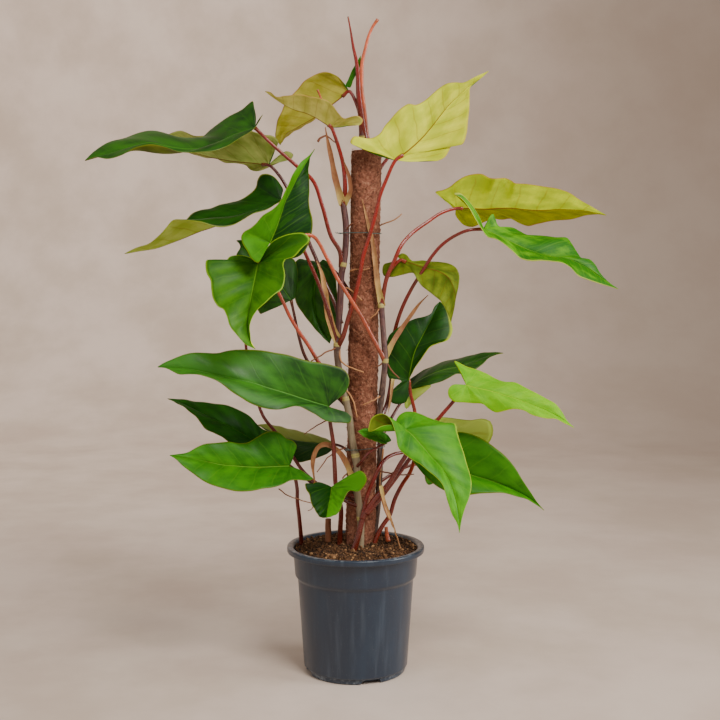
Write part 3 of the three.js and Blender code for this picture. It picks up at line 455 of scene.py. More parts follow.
patch_points, patch_faces, start = [], [], 0
for low, high in zip(drained_floor(FLOOR_UNDER), drained_floor(FLOOR_TOP)):
    steps, sides = low.shape[:2]
    sheet = grid_quads(steps, sides, wrap=True)
    count = steps * sides
    edge = np.arange(sides)
    after = (edge + 1) % sides
    hole = np.stack([edge, edge + count, after + count, after], -1)
    rim = count - sides + np.stack([edge, after, after + count, edge + count], -1)
    patch_points += [low.reshape(-1, 3), high.reshape(-1, 3)]
    patch_faces += [start + sheet[:, ::-1], start + count + sheet, start + hole, start + rim]
    start += 2 * count
hub_rings = np.array([(0.5, FLOOR_TOP), (HUB_RADIUS, FLOOR_TOP), (HUB_RADIUS, FLOOR_UNDER),
                      (18, 0), (0.5, 0)])
turn = full_turn(HUB_SIDES)
hub_height = np.repeat(hub_rings[:, 1:], HUB_SIDES, axis=1)
hub = np.stack([hub_rings[:, :1] * np.cos(turn), hub_rings[:, :1] * np.sin(turn), hub_height], -1)
skin, top, bottom = tube_faces(len(hub_rings), HUB_SIDES)
patch_faces += [start + skin[:, ::-1], start + top[:, ::-1], start + bottom[:, ::-1]]
patch_points.append(hub.reshape(-1, 3))
make_piece("pot_floor", np.concatenate(patch_points), patch_faces, slate, "pot")
pot_faces = [grid_quads(rings, around, wrap=True), wall_end]
make_piece("pot_wall", pot_grid.reshape(-1, 3), pot_faces, slate, "pot", ["pot"])

# %% [markdown]
# ## Soil
#
# The pot is filled to just under the rim with coarse, dark, fibrous mix. Displacing a disc with a
# texture would give the clods too, but the crumbs and chips below need to know the height at any
# place. So the height is a function, and the surface is a round grid lifted by it.

# %% Soil surface
SOIL_RADIUS, SOIL_CROWN, SOIL_DROP = 84, 178, 7
SOIL_SIDE = np.array([(65.4, 5.6), (69.4, 10.3), (77.6, 128.5), (82.0, 136.5), (83.6, 165)])  # radius, height


def soil_height(x, y):
    """A low heap that drops with the square of the radius, with clods from 22 mm down to 4 mm."""
    share = np.clip(np.hypot(x, y) / SOIL_RADIUS, 0, 1)
    spots = np.stack([x, y, 0 * x], axis=-1)
    clods = 1.5 * waves(spots, 22, 1) + 1.1 * waves(spots, 9, 2, 40) + 0.8 * waves(spots, 4.2, 3, 60)
    return SOIL_CROWN - SOIL_DROP * share ** 2 + clods * (1 - 0.45 * share)


radius, turn = np.meshgrid(np.linspace(SOIL_SIDE[-1, 0], 0.4, 76), full_turn(320), indexing="ij")
x, y = radius * np.cos(turn), radius * np.sin(turn)
top = np.stack([x, y, soil_height(x, y)], axis=-1)
rim, side_height = turn[:1], SOIL_SIDE[:, 1:] + 0 * turn[:1]
wall = np.stack([SOIL_SIDE[:, :1] * np.cos(rim), SOIL_SIDE[:, :1] * np.sin(rim), side_height], -1)
root_ball = np.concatenate([wall, top])
print("soil height:", top[..., 2].min().round(1), "to", top[..., 2].max().round(1))

# %% [markdown]
# Moist peat is nearly black, with reddish brown fibre and specks of pale bark. Two scales of noise
# make the mottle, and a strong bump stands for the grains too small to model.

# %% Soil finish
peat = Finish("potting_mix", Specular_IOR_Level=0.25, Roughness=0.95)
spot = peat.place()
dark = peat.mix(peat.ramp(peat.noise(spot, 120, 5, 0.7), 0.3, 0.7), rgb(38, 24, 16), rgb(104, 72, 48))
grains = peat.mix(peat.ramp(peat.noise(spot, 330, 4, 0.7), 0.45, 0.62), rgb(30, 20, 14), rgb(136, 96, 62))
pale = peat.ramp(peat.noise(spot, 520, 2, 0.5), 0.66, 0.72)
peat.set("Base Color", peat.mix(pale * 0.55, peat.mix(0.5, dark, grains), rgb(176, 130, 86)))
peat.bump(peat.noise(spot, 260, 5, 0.7) + peat.noise(spot, 900, 2) * 0.5, 1.6)
peat.report()
make_piece("soil_heap", root_ball.reshape(-1, 3), tube_faces(*root_ball.shape[:2]), peat, "soil", ["soil"])

# %% [markdown]
# Loose crumbs and pale bark chips lie on the soil. Particles or instances would scatter them, but an
# exported model drops those. So one small rough stone is copied with numpy into many sizes and turns,
# all in one mesh.

# %% Crumbs and chips
def stone():
    """A ball of 14 points and 24 faces, the corners and face middles of a cube pushed out to a sphere."""
    corners = np.array([(a, b, c) for a in (-1, 1) for b in (-1, 1) for c in (-1, 1)]) / np.sqrt(3)
    middles = np.array([(-1, 0, 0), (1, 0, 0), (0, -1, 0), (0, 1, 0), (0, 0, -1), (0, 0, 1)])
    sides = [(0, 1, 3, 2), (4, 6, 7, 5), (0, 4, 5, 1), (2, 3, 7, 6), (0, 2, 6, 4), (1, 5, 7, 3)]
    faces = [(8 + k, side[n], side[(n + 1) % 4]) for k, side in enumerate(sides) for n in range(4)]
    return np.concatenate([corners, middles]), np.array(faces)


def scatter(count, seed, size, flat):
    """count stones on the soil: each is stretched, roughened, turned at random and set a third deep.

    The square root spreads them evenly over the disc."""
    random = np.random.default_rng(seed)
    ball, faces = stone()
    radius = np.sqrt(random.uniform(0, 1, count)) * SOIL_RADIUS
    turn = random.uniform(0, 2 * np.pi, count)
    x, y = radius * np.cos(turn), radius * np.sin(turn)
    scale = size * random.lognormal(0, 0.4, (count, 1, 1))
    scale = scale * random.uniform(0.5, 1.2, (count, 1, 3)) * (1, 1, flat)
    rough = random.uniform(0.75, 1.25, (count, len(ball), 1))
    turns = unit(random.normal(size=(count, 4)))
    w, q = turns[:, None, :1], turns[:, None, 1:]
    points = ball * rough * scale
    points = points + 2 * np.cross(q, np.cross(q, points) + w * points)
    centre = np.stack([x, y, soil_height(x, y) + 0.3 * size], axis=-1)
    tone = np.repeat(random.uniform(0, 1, count), len(ball))
    all_faces = (faces[None] + np.arange(count)[:, None, None] * len(ball)).reshape(-1, 3)
    return (points + centre[:, None]).reshape(-1, 3), all_faces, tone


crumb = Finish("crumbs", Specular_IOR_Level=0.25, Roughness=0.9)
spot, tone = crumb.place(), crumb.number("tone")
brown = crumb.mix(crumb.ramp(tone, 0.1, 0.75), rgb(36, 24, 17), rgb(120, 82, 52))
brown = crumb.mix(crumb.ramp(tone, 0.88, 0.97), brown, rgb(190, 144, 98))
crumb.set("Base Color", crumb.mix(crumb.noise(spot, 700, 3) * 0.5, brown, rgb(60, 42, 30)))
crumb.bump(crumb.noise(spot, 900, 3), 0.5)
crumb.report()
points, faces, tone = scatter(2600, 11, 1.25, 0.8)
make_piece("soil_crumbs", points, [faces], crumb, "soil", tone=tone)
points, faces, tone = scatter(170, 12, 2.7, 0.45)
make_piece("bark_chips", points, [faces], crumb, "soil", tone=0.35 + 0.65 * tone)

# %% [markdown]
# ## Coir pole
#
# The pole is coconut fibre felted round a tube: reddish brown, matted, with dents and a few dark
# slits. A cylinder with a Displace modifier would be close, but the loose fibres below need points on
# the felt, so the felt is a function of height and turn: a leaning axis and a radius with noise.

# %% Pole
POLE_FOOT, POLE_TOP, POLE_RADIUS = np.array([4.0, 0, 40]), np.array([14.6, 0, 714]), 20.0
CROWN = ((0.93, 1.0), (0.8, 1.3), (0.4, 1.0), (0.03, 0.8))  # share of the radius, rise in mm


def pole_axis(height):
    """The point of the pole's middle line at a height."""
    share = (np.asarray(height, float) - POLE_FOOT[2]) / (POLE_TOP[2] - POLE_FOOT[2])
    return POLE_FOOT + share[..., None] * (POLE_TOP - POLE_FOOT)


def pole_points(height, turn, extra=0.0):
    """Points of the felt: a radius from the middle line, with broad dents and fine matting."""
    axis = pole_axis(height)
    ring = np.stack([np.cos(turn), np.sin(turn), 0 * turn], axis=-1)
    rough = axis + POLE_RADIUS * ring
    dents = 0.55 * waves(rough * (1, 1, 0.6), 30, 21) + 0.45 * waves(rough, 8, 22, 40)
    matting = 0.35 * waves(rough * (1, 1, 1.4), 3.4, 23, 60)
    return axis + (POLE_RADIUS + dents + matting + extra)[..., None] * ring


height, turn = np.meshgrid(np.linspace(60, POLE_TOP[2], 500), full_turn(112), indexing="ij")
felt = pole_points(height, turn)
middle = pole_axis(height[-1])
felt = np.concatenate([felt, [middle + share * (felt[-1] - middle) + (0, 0, rise) for share, rise in CROWN]])
print("pole radius:", np.linalg.norm(felt[:500] - pole_axis(height), axis=-1).min().round(2), "mm or more")

# %% [markdown]
# Felted coir is a mat of fine strands, so its colour changes over millimetres. The same noise drives the
# colour and the bump: the gaps are painted nearly black, as painted shade, and the raised strands are
# paler, partly their own colour and partly painted light, so that what is dark is also deep.

# %% Pole finish
coir = Finish("coir_felt", Specular_IOR_Level=0.2, Roughness=0.95)
mat = coir.noise(coir.place((1, 1, 0.8)), 260, 6, 0.75)
strands = coir.noise(coir.place((1.0, 1.0, 0.25)), 620, 3, 0.6)
broad = coir.ramp(coir.noise(coir.place(), 24, 4, 0.6), 0.3, 0.7)
colour = coir.mix(broad, rgb(112, 66, 48), rgb(154, 98, 76))
# paler on the raised strands: partly their own colour, partly painted light
colour = coir.mix(coir.ramp(mat, 0.5, 0.7) * 0.8, colour, rgb(192, 142, 112))
# painted shade: the gaps between the strands are darkened nearly to black
colour = coir.mix((1 - coir.ramp(mat, 0.32, 0.5)) * 0.9, colour, rgb(50, 26, 20))
colour = coir.mix(coir.ramp(strands, 0.62, 0.75) * 0.5, colour, rgb(176, 118, 84))
coir.set("Base Color", colour)
coir.bump(mat + strands * 0.6, 1.5)
coir.report()
make_piece("coir_pole", felt.reshape(-1, 3), tube_faces(*felt.shape[:2]), coir, "pole", ["pole"])

# %% [markdown]
# Loose fibres stand off the pole and soften its outline. Hair curves would be the usual way, but an
# exported model keeps meshes and drops hair, so each fibre is a thin three-sided tube that wanders
# over the felt and lifts in its middle.

# %% Loose fibres
def thin_tubes(lines, thick, sides=3):
    """Tubes round many lines at once. lines is [tube, point, xyz]; the section is a small polygon
    square to each line, and it shrinks towards both ends."""
    count, length = lines.shape[:2]
    along = unit(np.gradient(lines, axis=1))
    aside = unit(np.cross(along, np.array([0.31, 0.52, 0.79])))
    third = np.cross(along, aside)
    turn = full_turn(sides)
    taper = np.sin(np.pi * np.linspace(0.06, 0.94, length)) ** 0.5
    size = (np.asarray(thick).reshape(-1, 1) * taper)[..., None, None]
    ring = aside[:, :, None] * np.cos(turn)[:, None] + third[:, :, None] * np.sin(turn)[:, None]
    points = lines[:, :, None] + ring * size
    starts = np.arange(count)[:, None] * length * sides
    quads = (grid_quads(length, sides, wrap=True)[None] + starts[:, :, None]).reshape(-1, 4)
    first = starts + np.arange(sides)[None, ::-1]
    last = starts + (length - 1) * sides + np.arange(sides)[None, :]
    return points.reshape(-1, 3), [quads, np.concatenate([first, last])]


random = np.random.default_rng(31)
count, steps = 1500, 7
fibre_range = (176, POLE_TOP[2] + 2)
start_height = random.uniform(*fibre_range, (count, 1))
start_turn = random.uniform(0, 2 * np.pi, (count, 1))
walk = np.linspace(0, 1, steps)[None, :]
reach = random.uniform(4, 17, (count, 1))
slope = random.uniform(-1, 1, (count, 1))
height = start_height + reach * slope * walk + random.normal(0, 0.6, (count, steps))
height = np.clip(height, 150, fibre_range[1])
turn = start_turn + reach * np.sqrt(1 - slope ** 2) * walk / POLE_RADIUS * random.choice([-1, 1], (count, 1))
loose = random.gamma(1.2, 0.7, (count, 1)) * np.sin(np.pi * walk) + 0.15
loose = loose + np.cumsum(random.normal(0, 0.12, (count, steps)), 1)
lines = pole_points(height, turn, np.abs(loose))
points, faces = thin_tubes(lines, random.uniform(0.1, 0.24, count))
tone = np.repeat(random.uniform(0, 1, count), steps * 3)

fibre = Finish("coir_fibre", Specular_IOR_Level=0.3, Roughness=0.8)
hue = fibre.ramp(fibre.number("tone"), 0.1, 0.9)
brown = fibre.mix(fibre.noise(fibre.place(), 300), rgb(84, 46, 32), rgb(120, 70, 48))
fibre.set("Base Color", fibre.mix(hue, brown, rgb(196, 140, 104)))
fibre.report()
make_piece("pole_fibres", points, faces, fibre, "pole", tone=tone)

# %% [markdown]
# ## Leaf blades
#
# A blade of this plant is a long arrowhead: two halves that fold up from the midrib, two rounded
# lobes behind the point where the stalk joins, and side veins that run out to the margin in curves.
# It could be a flat outline bent by a modifier, but the folds differ from leaf to leaf and from half
# to half. So each blade is given by three lines in space, its midrib and its two margins, and each
# half is a grid between them: its columns go from midrib to margin and its rows follow the side
# veins. The row number, kept on the points, lets the finish draw every vein where it belongs.

# %% Lines in space
def on_line(points, share):
    """The smooth line through the points, at these shares of its length: a cubic step from point to
    point, with the mean slope of both sides at each."""
    at = lengths(points)
    slope = np.gradient(points, at, axis=0)
    where = np.clip(share, 0, 1) * at[-1]
    i = np.clip(np.searchsorted(at, where, side="right") - 1, 0, len(at) - 2)
    span = (at[i + 1] - at[i])[:, None]
    t = (where - at[i])[:, None] / span
    step = t * t * (3 - 2 * t)
    bend = span * t * (1 - t) * ((1 - t) * slope[i] - t * slope[i + 1])
    return points[i] * (1 - step) + points[i + 1] * step + bend


def eased(values, reach):
    """Each row becomes the mean of the rows around it, up to this many away."""
    padded = np.concatenate([np.repeat(values[:1], reach, 0), values, np.repeat(values[-1:], reach, 0)])
    total = np.cumsum(np.concatenate([np.zeros_like(padded[:1]), padded]), axis=0)
    return (total[2 * reach + 1:] - total[:-2 * reach - 1]) / (2 * reach + 1)


half_way = on_line(np.array([(0.0, 0, 0), (50, 0, 20), (100, 0, 0)]), np.array([0.25]))
print("a quarter along an arch 100 mm wide:", half_way.round(1))

# %% [markdown]
# One half of a blade is a ruled surface: straight lines from midrib to margin. Lofting in a modelling
# tool gives the same. Three low reliefs then stand on it: an arch, since no blade is straight
# across, a ripple that grows towards the free margin, and soft pillows between the side veins.

# %% The surface of a blade
VEIN_ROWS = 12  # the rows of a blade are counted from 0 at the tip to this at the notch
VEIN_STEP = 0.78  # side veins for each of them


def half_blade(rib, body, lobe, hand, body_rows, lobe_rows):
    """Where the rows of one half start on the midrib, how they run out, and their upward normals.

    Down the body a row's start moves along the midrib while its end moves along the margin, a little
    nearer the tip, as side veins do. Round the lobe all rows start at the base. A point's fourth
    number, where it has one, is an arch in mm of its own."""
    margin = np.array([(*p, 0)[:4] for p in (*body, *lobe)], float)
    base = rib[0]
    margin = np.concatenate([margin, [[*(base + 0.05 * (margin[-1, :3] - base)), 0]]])
    turn = lengths(margin)[len(body) - 1] / lengths(margin)[-1]
    down = np.linspace(0.006, 1, body_rows)
    round_lobe = np.linspace(turn, 1, lobe_rows + 1)[1:]
    start = np.concatenate([on_line(rib[::-1], down), np.repeat(base[None], lobe_rows, 0)])
    end = on_line(margin, np.concatenate([turn * (down - 0.07 * np.sin(np.pi * down)), round_lobe]))
    out = end[:, :3] - start
    travel = np.gradient(start + 0.6 * out, axis=0)
    normal = unit(eased(hand * np.cross(out, travel), 4))
    return start, out, normal, end[:, 3:]


def blade(rib, left, right, body_rows=76, lobe_rows=33, columns=19, thickness=0.8, wave=0.5, quilt=0.14):
    """Points of a blade as [row, place round the section], with their numbers.

    A point at a share of the way from midrib to margin stands off the straight line between them by
    a low arch, by a ripple that grows towards the margin, and by the quilting between side veins."""
    rib = np.array(rib, float)
    share = np.linspace(0, 1, columns + 1) ** 1.35
    row = np.linspace(0, VEIN_ROWS, body_rows + lobe_rows)[:, None]
    sides = [half_blade(rib, *half, hand, body_rows, lobe_rows) for half, hand in ((left, 1), (right, -1))]
    halves = []
    for hand, shift, (start, out, normal, arch), other in ((1, 0.0, *sides), (-1, 1.3, *sides[::-1])):
        width = np.linalg.norm(out, axis=1)[:, None]
        near_rib = np.exp(-(share / 0.05) ** 2)[None, :, None]
        normal = unit(normal[:, None] + other[2][:, None] * near_rib * 0.999)
        pillows = np.sin(2 * np.pi * VEIN_STEP * row + shift) * np.sin(np.pi * share) ** 0.8
        pillows = pillows * np.minimum(1, width / 25) * (1 + 0.5 * np.sin(1.7 * row + 2 * shift))
        rise = 4 * share * (1 - share) * (0.05 * width + arch)
        ripple = wave * share ** 2 * np.minimum(1, width / 20) * np.sin(3.1 * row + shift)
        straight = start[:, None] + out[:, None] * share[:, None]
        lift = (rise + ripple + quilt * pillows)[..., None]
        halves.append((straight, lift, normal, row + 0 * share, hand * share + 0 * row))
    joined = [np.concatenate([a[:, :0:-1], b], axis=1) for a, b in zip(*halves)]
    straight, lift, normal, row, across = joined
    small = min(1, lengths(rib)[-1] / 120)
    rib_swell = np.exp(-(across / 0.035) ** 2) * (1 - 0.8 * smoothstep(VEIN_ROWS - row, 4, 12)) * small
    half_thick = thickness / 2 * (1 - 0.45 * np.abs(across) ** 3)
    upper = straight + normal * (lift + (half_thick - 0.35 * rib_swell)[..., None])
    lower = straight + normal * (lift - (half_thick + 1.1 * rib_swell)[..., None])
    points = np.concatenate([upper, lower[:, ::-1]], axis=1)
    side = np.concatenate([np.ones_like(row), -np.ones_like(row)], axis=1)
    return points, *(np.concatenate([a, a[:, ::-1]], 1) for a in (row, across)), side


def ring_cap(start, columns, flip=False):
    """Quads that close a flat ring: the point at k from one end meets the point at k from the other."""
    k = np.arange(columns // 2 - 1)
    quads = start + np.stack([k, columns - 1 - k, columns - 2 - k, k + 1], axis=-1)
    return quads[:, ::-1] if flip else quads


def leaf_piece(name, nodes, finish, tone, rib, left, right, **more):
    """One blade as a piece: a closed skin, capped where it starts at the tip and at the notch."""
    points, row, across, side = blade(rib, left, right, **more)
    rows, ring = row.shape
    seed = sum(map(ord, name)) % 17
    skin = grid_quads(rows, ring, wrap=True)[:, ::-1]
    caps = [ring_cap(0, ring, True), ring_cap((rows - 1) * ring, ring)]
    make_piece("blade" + name[4:], points.reshape(-1, 3), [skin, *caps], finish, "leaf_" + tone, nodes,
               vein=row, across=across, side=side, own=np.full(row.shape, float(seed)))


# %% [markdown]
# Each blade in view has its own folds, so its lines are read one by one: the midrib from base to tip,
# and for each half, left and right as seen on the upper face, the margin from the tip down and then
# round the lobe. A point holds pixels across, pixels down, its depth in mm and, now and then, an arch of
# its own. A drawn curve in the viewport would hold the same, but not where the script can be read.

# %% Every blade in view
# finish, tone of the slot, midrib, then (margin, lobe) of the left and of the right half
LEAVES = {
    "leaf_upper_left": ("dusky", "dark",
        [(255, 128, -45), (243, 131.5, -50), (231, 136, -54), (220, 142, -58), (208, 147, -60),
         (190, 149, -62), (170, 146.5, -64), (150, 143, -66), (130, 147.5, -69), (110, 153, -72),
         (84, 160.5, -75)],
        ([(95, 157.7, -80), (108, 158.8, -86), (121, 156, -92), (135, 147.5, -98, -9),
          (150, 145, -100, -12), (165, 147.5, -98, -8), (180, 151.5, -94, -3), (195, 153, -90),
          (212, 151.5, -86), (226, 146, -80), (240, 138, -74)],
         [(250, 131.5, -66), (258, 123, -60), (263, 115, -56), (259, 121, -50)]),
        ([(98, 148, -60), (110, 142, -47), (125, 138, -33), (138, 133, -22), (150, 130.5, -16),
          (158, 131, -14), (168, 135, -14), (180, 138, -13), (190, 139, -12), (200, 138, -12),
          (210, 130, -10), (220, 123, -10), (230, 116, -10)],
         [(241, 110, -12), (253, 101.5, -14), (254, 111, -24), (254, 119, -34)])),
    "leaf_upper_left_behind": ("sage", "olive",
        [(269, 165, 25), (255, 163.3, 27), (240, 162, 29), (225, 160, 31), (210, 156.5, 32),
         (197, 153.5, 33), (180, 150, 34), (160, 148, 35), (140, 146, 36)],
        ([(160, 139, 28), (180, 130.5, 20), (195, 136, 16), (215, 134, 12), (235, 129, 8)],
         [(252, 131, 6), (264, 135, 6), (272, 135.5, 7), (278, 141, 11), (275.5, 149, 15),
          (271.5, 157, 20)]),
        ([(165, 152, 42), (185, 152, 48), (197, 155, 52), (206, 158, 54), (216, 158.5, 56),
          (226, 162.5, 58), (236, 163.8, 58)],
         [(246, 165.5, 54), (250, 169.5, 48), (256, 171.6, 42), (264, 169.5, 36), (273, 165.3, 31),
          (283, 161.5, 32), (291, 159.5, 35), (293.5, 155, 37), (287, 151, 34), (279, 155, 29)])),
    "leaf_left_curled": ("deep", "dark",
        [(281, 200, -20), (268, 206.5, -22), (255, 210.5, -24), (240, 215.5, -26), (228, 220, -28),
         (215, 226, -31), (200, 231.5, -34), (185, 237, -36), (170, 243.5, -39), (155, 248.5, -41),
         (140, 250.5, -43), (124, 253.5, -45)],
        ([(140, 246.5, -52), (150, 243, -57), (158, 237, -62), (165, 228, -68), (173, 220.5, -72),
          (185, 220, -74), (200, 222, -74), (213, 226.7, -72), (222, 227.7, -68), (232, 225.5, -64),
          (242, 220, -60), (252, 214.5, -54)],
         [(262, 211, -48), (272, 206.5, -41), (279, 202.5, -32)]),
        ([(140, 248, -38), (155, 242, -30), (170, 232, -22), (186, 219.5, -14), (192, 213, -10),
          (200, 210, -7), (210, 208.5, -4), (220, 204.5, -2), (230, 202.5, 0), (240, 200, 2),
          (249, 195, 2)],
         [(256, 187, 2), (257.5, 180, 1), (261, 175, 0), (267, 173.6, -2), (274, 177, -5),
          (279.5, 183, -9), (283.5, 190, -13), (281, 196, -17)])),
    "leaf_centre_upright": ("upright", "mid",
        [(270, 243, -82), (276, 228, -80), (281, 214, -77), (286, 200, -73), (291, 189, -69),
         (298, 177, -64), (305, 165, -58), (315, 148.5, -50)],
        ([(309, 155.5, -56), (300, 163.5, -64), (295, 171, -72), (290, 180.5, -80), (286, 190, -86),
          (281, 200, -90), (272, 209.5, -93), (263, 216, -95), (256, 223.5, -97)],
         [(250, 228.5, -99), (244, 232, -101), (241.5, 237, -103), (243, 243, -105), (247, 251, -106),
          (251, 258.5, -106), (257, 262.5, -104), (262, 257, -98), (266, 249, -90)]),
        ([(310, 157, -50), (308.5, 166, -50), (309, 178, -51), (309.5, 190, -53), (308.5, 200, -56),
          (310, 210, -59), (312.5, 220, -62)],
         [(312.5, 230, -65), (310, 240, -68), (306, 249, -71), (300, 256, -74), (293, 258.5, -77),
          (285, 256, -79), (277, 249, -81)])),
    "leaf_lime_hanging": ("bright", "lime",
        [(258, 264, -66), (256, 275, -80), (253.5, 288, -94), (250.5, 300, -106), (248.5, 314, -118),
         (248, 328, -129), (250.5, 340, -139), (255.5, 349.5, -148)],
        ([(251.5, 343, -145), (250, 334, -141), (250, 324, -138), (252, 317, -136), (257, 311, -134),
          (264, 304, -132), (270, 298, -129), (276, 294, -126), (281, 290, -122), (284, 282, -117),
          (285.3, 273, -112)],
         [(283.3, 264.5, -108), (285.5, 259.3, -106), (293, 257.3, -105), (301, 248.5, -104),
          (309.5, 238, -102), (305, 233.5, -100), (295, 233, -98), (284, 235, -96), (274, 240, -93),
          (265, 251, -87)]),
        ([(246, 344, -146), (240, 339, -143), (235, 333, -140), (230, 325, -136), (226, 315, -130),
          (223, 308.7, -125), (218, 306.5, -120), (213.5, 299, -114), (211.5, 290, -108),
          (210.5, 280, -102), (207, 274, -98)],
         [(205.3, 267, -94), (206.5, 259.5, -88), (215, 260.3, -84), (225, 261, -80), (229.5, 257, -78),
          (237, 255.5, -77), (246, 257, -78), (253, 260, -79)])),
    "leaf_dark_tucked": ("dusky", "dark",
        [(291, 300, -5), (283, 288, -3), (272, 274, 0), (258, 260, 4), (248, 251, 7), (236.5, 240.5, 10)],
        ([(240, 246, 4), (236.5, 256, -1), (246, 262, -4), (247, 276, -8), (250, 292, -10)],
         [(256, 306, -12), (261, 314, -12), (265, 308, -10), (273, 301, -8), (281, 302, -7)]),
        ([(243, 240.5, 14), (247, 246.5, 16), (255, 246, 20), (270, 249, 22), (284, 254, 22)],
         [(295, 260, 20), (297.5, 272, 16), (297, 284, 10), (296, 294, 4), (294, 299, -1)])),
    "leaf_dark_by_pole": ("dusky", "dark",
        [(319, 263, 46), (315, 283, 50), (314, 303, 54), (318, 323, 58), (330, 344, 60)],
        ([(335, 328, 52), (337, 310, 46), (337, 292, 43)],
         [(335, 276, 41), (329, 264, 41), (323, 259.5, 43)]),
        ([(322, 336, 55), (312, 325, 51), (303, 314, 47), (296.5, 304, 45), (294.5, 291, 43)],
         [(296, 278, 42), (293.5, 265, 42), (299, 258.5, 43), (307, 260, 44), (314, 261, 45)])),
    "leaf_left_broad": ("glossy", "dark",
        [(329, 407, -40), (315, 402.5, -44), (300, 397.5, -48), (285, 393, -52), (270, 388.5, -56),
         (255, 384, -59), (240, 380, -62), (225, 377, -64), (210, 373.5, -66), (190, 369.5, -68),
         (157, 366.7, -70)],
        ([(165, 368, -74), (172, 371, -80), (180, 374, -86), (190, 374.8, -90), (200, 375, -92),
          (208, 377, -93), (215, 380.5, -93), (222, 385, -92), (230, 390.5, -90), (240, 397, -88),
          (250, 403, -85), (259, 407, -82), (268, 409, -79), (277, 409.5, -76), (285, 408, -73),
          (292, 406.5, -70)],
         [(300, 407, -67), (308, 410.5, -64), (316, 415, -61), (324, 419.5, -58), (333, 422.5, -55),
          (342, 422.8, -53), (350, 422.5, -51), (351.5, 418, -49), (347, 413, -47), (340, 410, -45),
          (334, 408.5, -43)]),
        ([(165, 362, -68), (172, 359, -66), (182, 355, -63), (192, 353, -60), (205, 352.3, -57),
          (213, 353, -54), (219, 353, -50), (225, 351, -46), (235, 350, -44), (250, 349.8, -43),
          (262, 350.5, -43), (275, 352.5, -43), (288, 355, -43), (298, 357.5, -43), (308, 360.5, -43)],
         [(318, 362, -43), (326, 363.5, -43), (335, 366, -43), (342, 368, -43), (347, 373, -43),
          (349.5, 380, -43), (348, 388, -43), (345, 393, -43), (338, 398, -42), (332, 402, -41)])),
    "leaf_low_left_behind": ("shade", "dark",
        [(263, 447, 24), (248, 437, 22), (232, 428, 20), (215, 420, 18), (198, 411, 16), (183, 404, 15),
         (167, 398.3, 14)],
        ([(176, 402.5, 8), (186, 409, 2), (195, 416, -2), (201, 423, -5), (206, 429.5, -7),
          (215, 433.5, -7), (223, 437, -6), (229, 443, -4)],
         [(238, 449, 0), (248, 453, 4), (257, 456, 10), (264, 455, 16)]),
        ([(182, 399.3, 22), (196, 401.3, 30), (212, 403.5, 36), (228, 406, 40), (240, 410.5, 42),
          (250, 417, 42)],
         [(257, 424, 40), (263, 429, 38), (270, 433, 36), (273, 440, 33), (269, 446, 28)])),
    "leaf_low_left_front": ("speckled", "mid",
        [(289, 466.3, -25), (275, 467, -29), (262, 467.5, -33), (248, 467, -37), (235, 466, -41),
         (222, 465, -44), (210, 462.5, -47), (200, 460, -49), (188, 457.5, -52), (169, 455.5, -55)],
        ([(175, 458.5, -58), (182, 465, -62), (190, 471.5, -66), (200, 478.5, -70), (212, 484.8, -73),
          (226, 489, -75), (240, 491.3, -75), (252, 491.3, -73), (263, 488.2, -70), (273, 487.2, -66),
          (282, 485, -61)],
         [(291, 480.8, -56), (300, 479.8, -50), (308, 480.8, -45), (313, 479.5, -41), (307, 474.5, -37),
          (299, 469.5, -31)]),
        ([(178, 454, -52), (188, 452, -49), (196, 447.5, -46), (204, 444.2, -43), (216, 443.2, -39),
          (229, 441.5, -35), (240, 443.5, -31), (248, 442.5, -27), (256, 437.5, -23), (264, 433, -20)],
         [(272, 431.3, -18), (279, 432.8, -18), (286, 438, -19), (294, 441.5, -20), (297, 446, -21),
          (294.5, 453, -22), (291, 460, -23)])),
    "leaf_small_curled": ("upright", "mid",
        [(332, 487, -45), (331, 495, -55), (329, 504, -68), (327, 512, -80), (326, 518, -90)],
        ([(332, 516.5, -86), (338, 513, -80), (342, 505, -72), (345, 497.5, -66)],
         [(350, 491, -60), (358, 491.5, -56), (364, 486.5, -54), (366.5, 479, -52), (364, 472, -50),
          (359.5, 470.5, -48), (355, 477, -46), (347, 483, -45), (339, 485.8, -45)]),
        ([(320, 517, -86), (315, 510, -80), (311, 502, -74)],
         [(309.5, 494, -68), (306, 488, -62), (305, 483.5, -58), (311, 484, -54), (318, 482, -50),
          (325, 483.5, -47)])),
    "leaf_low_strip": ("strip", "dark",
        [(331, 443.5, 52), (315, 443, 54), (300, 441, 56), (285, 438, 58), (271, 432, 60), (258, 425, 62)],
        ([(266, 430, 56), (276, 436, 50), (285, 445, 44), (291, 455, 40), (298, 462.5, 36)],
         [(309, 460, 36), (319, 457, 38), (328, 453, 42), (333, 447, 48)]),
        ([(266, 423.8, 70), (275, 425.3, 76), (288, 428.5, 80), (300, 431, 80), (313, 434.5, 76)],
         [(324, 438, 70), (331, 441, 62), (334, 443, 56)])),
    "leaf_top_behind": ("straw", "olive",
        [(349, 91, 12), (335, 102, 16), (316, 116.5, 24), (298, 126.5, 32), (286, 134, 38),
         (280, 145.5, 45)],
        ([(275.5, 137, 40), (276, 129, 36), (278, 119, 32), (281, 112, 29), (285, 104, 26), (292, 95, 22),
          (298, 88, 19), (304, 81.5, 16), (312, 76.5, 12)],
         [(320, 73, 8), (326, 71.5, 6), (333, 74, 6), (338.5, 77.5, 7), (342, 82, 8), (345, 87, 10)]),
        ([(283, 140.5, 52), (290, 134.5, 56), (299, 129, 58), (309, 123, 58), (319, 116, 58)],
         [(328, 107, 54), (336, 99, 46), (344, 92, 34), (351, 90, 24), (353, 93, 17)])),
    "leaf_top_front": ("cream", "olive",
        [(331, 127, -30), (325, 123, -33), (316, 117, -38), (306, 112.5, -46), (295, 109.5, -55),
         (284, 104.5, -66), (275, 98.5, -76), (265, 91, -85)],
        ([(270, 92.3, -85), (277, 97, -84), (285, 96, -83), (293, 94.5, -81), (302, 95, -77),
          (312, 96.5, -71), (322, 99, -63), (328, 100.5, -57), (333, 106, -51)],
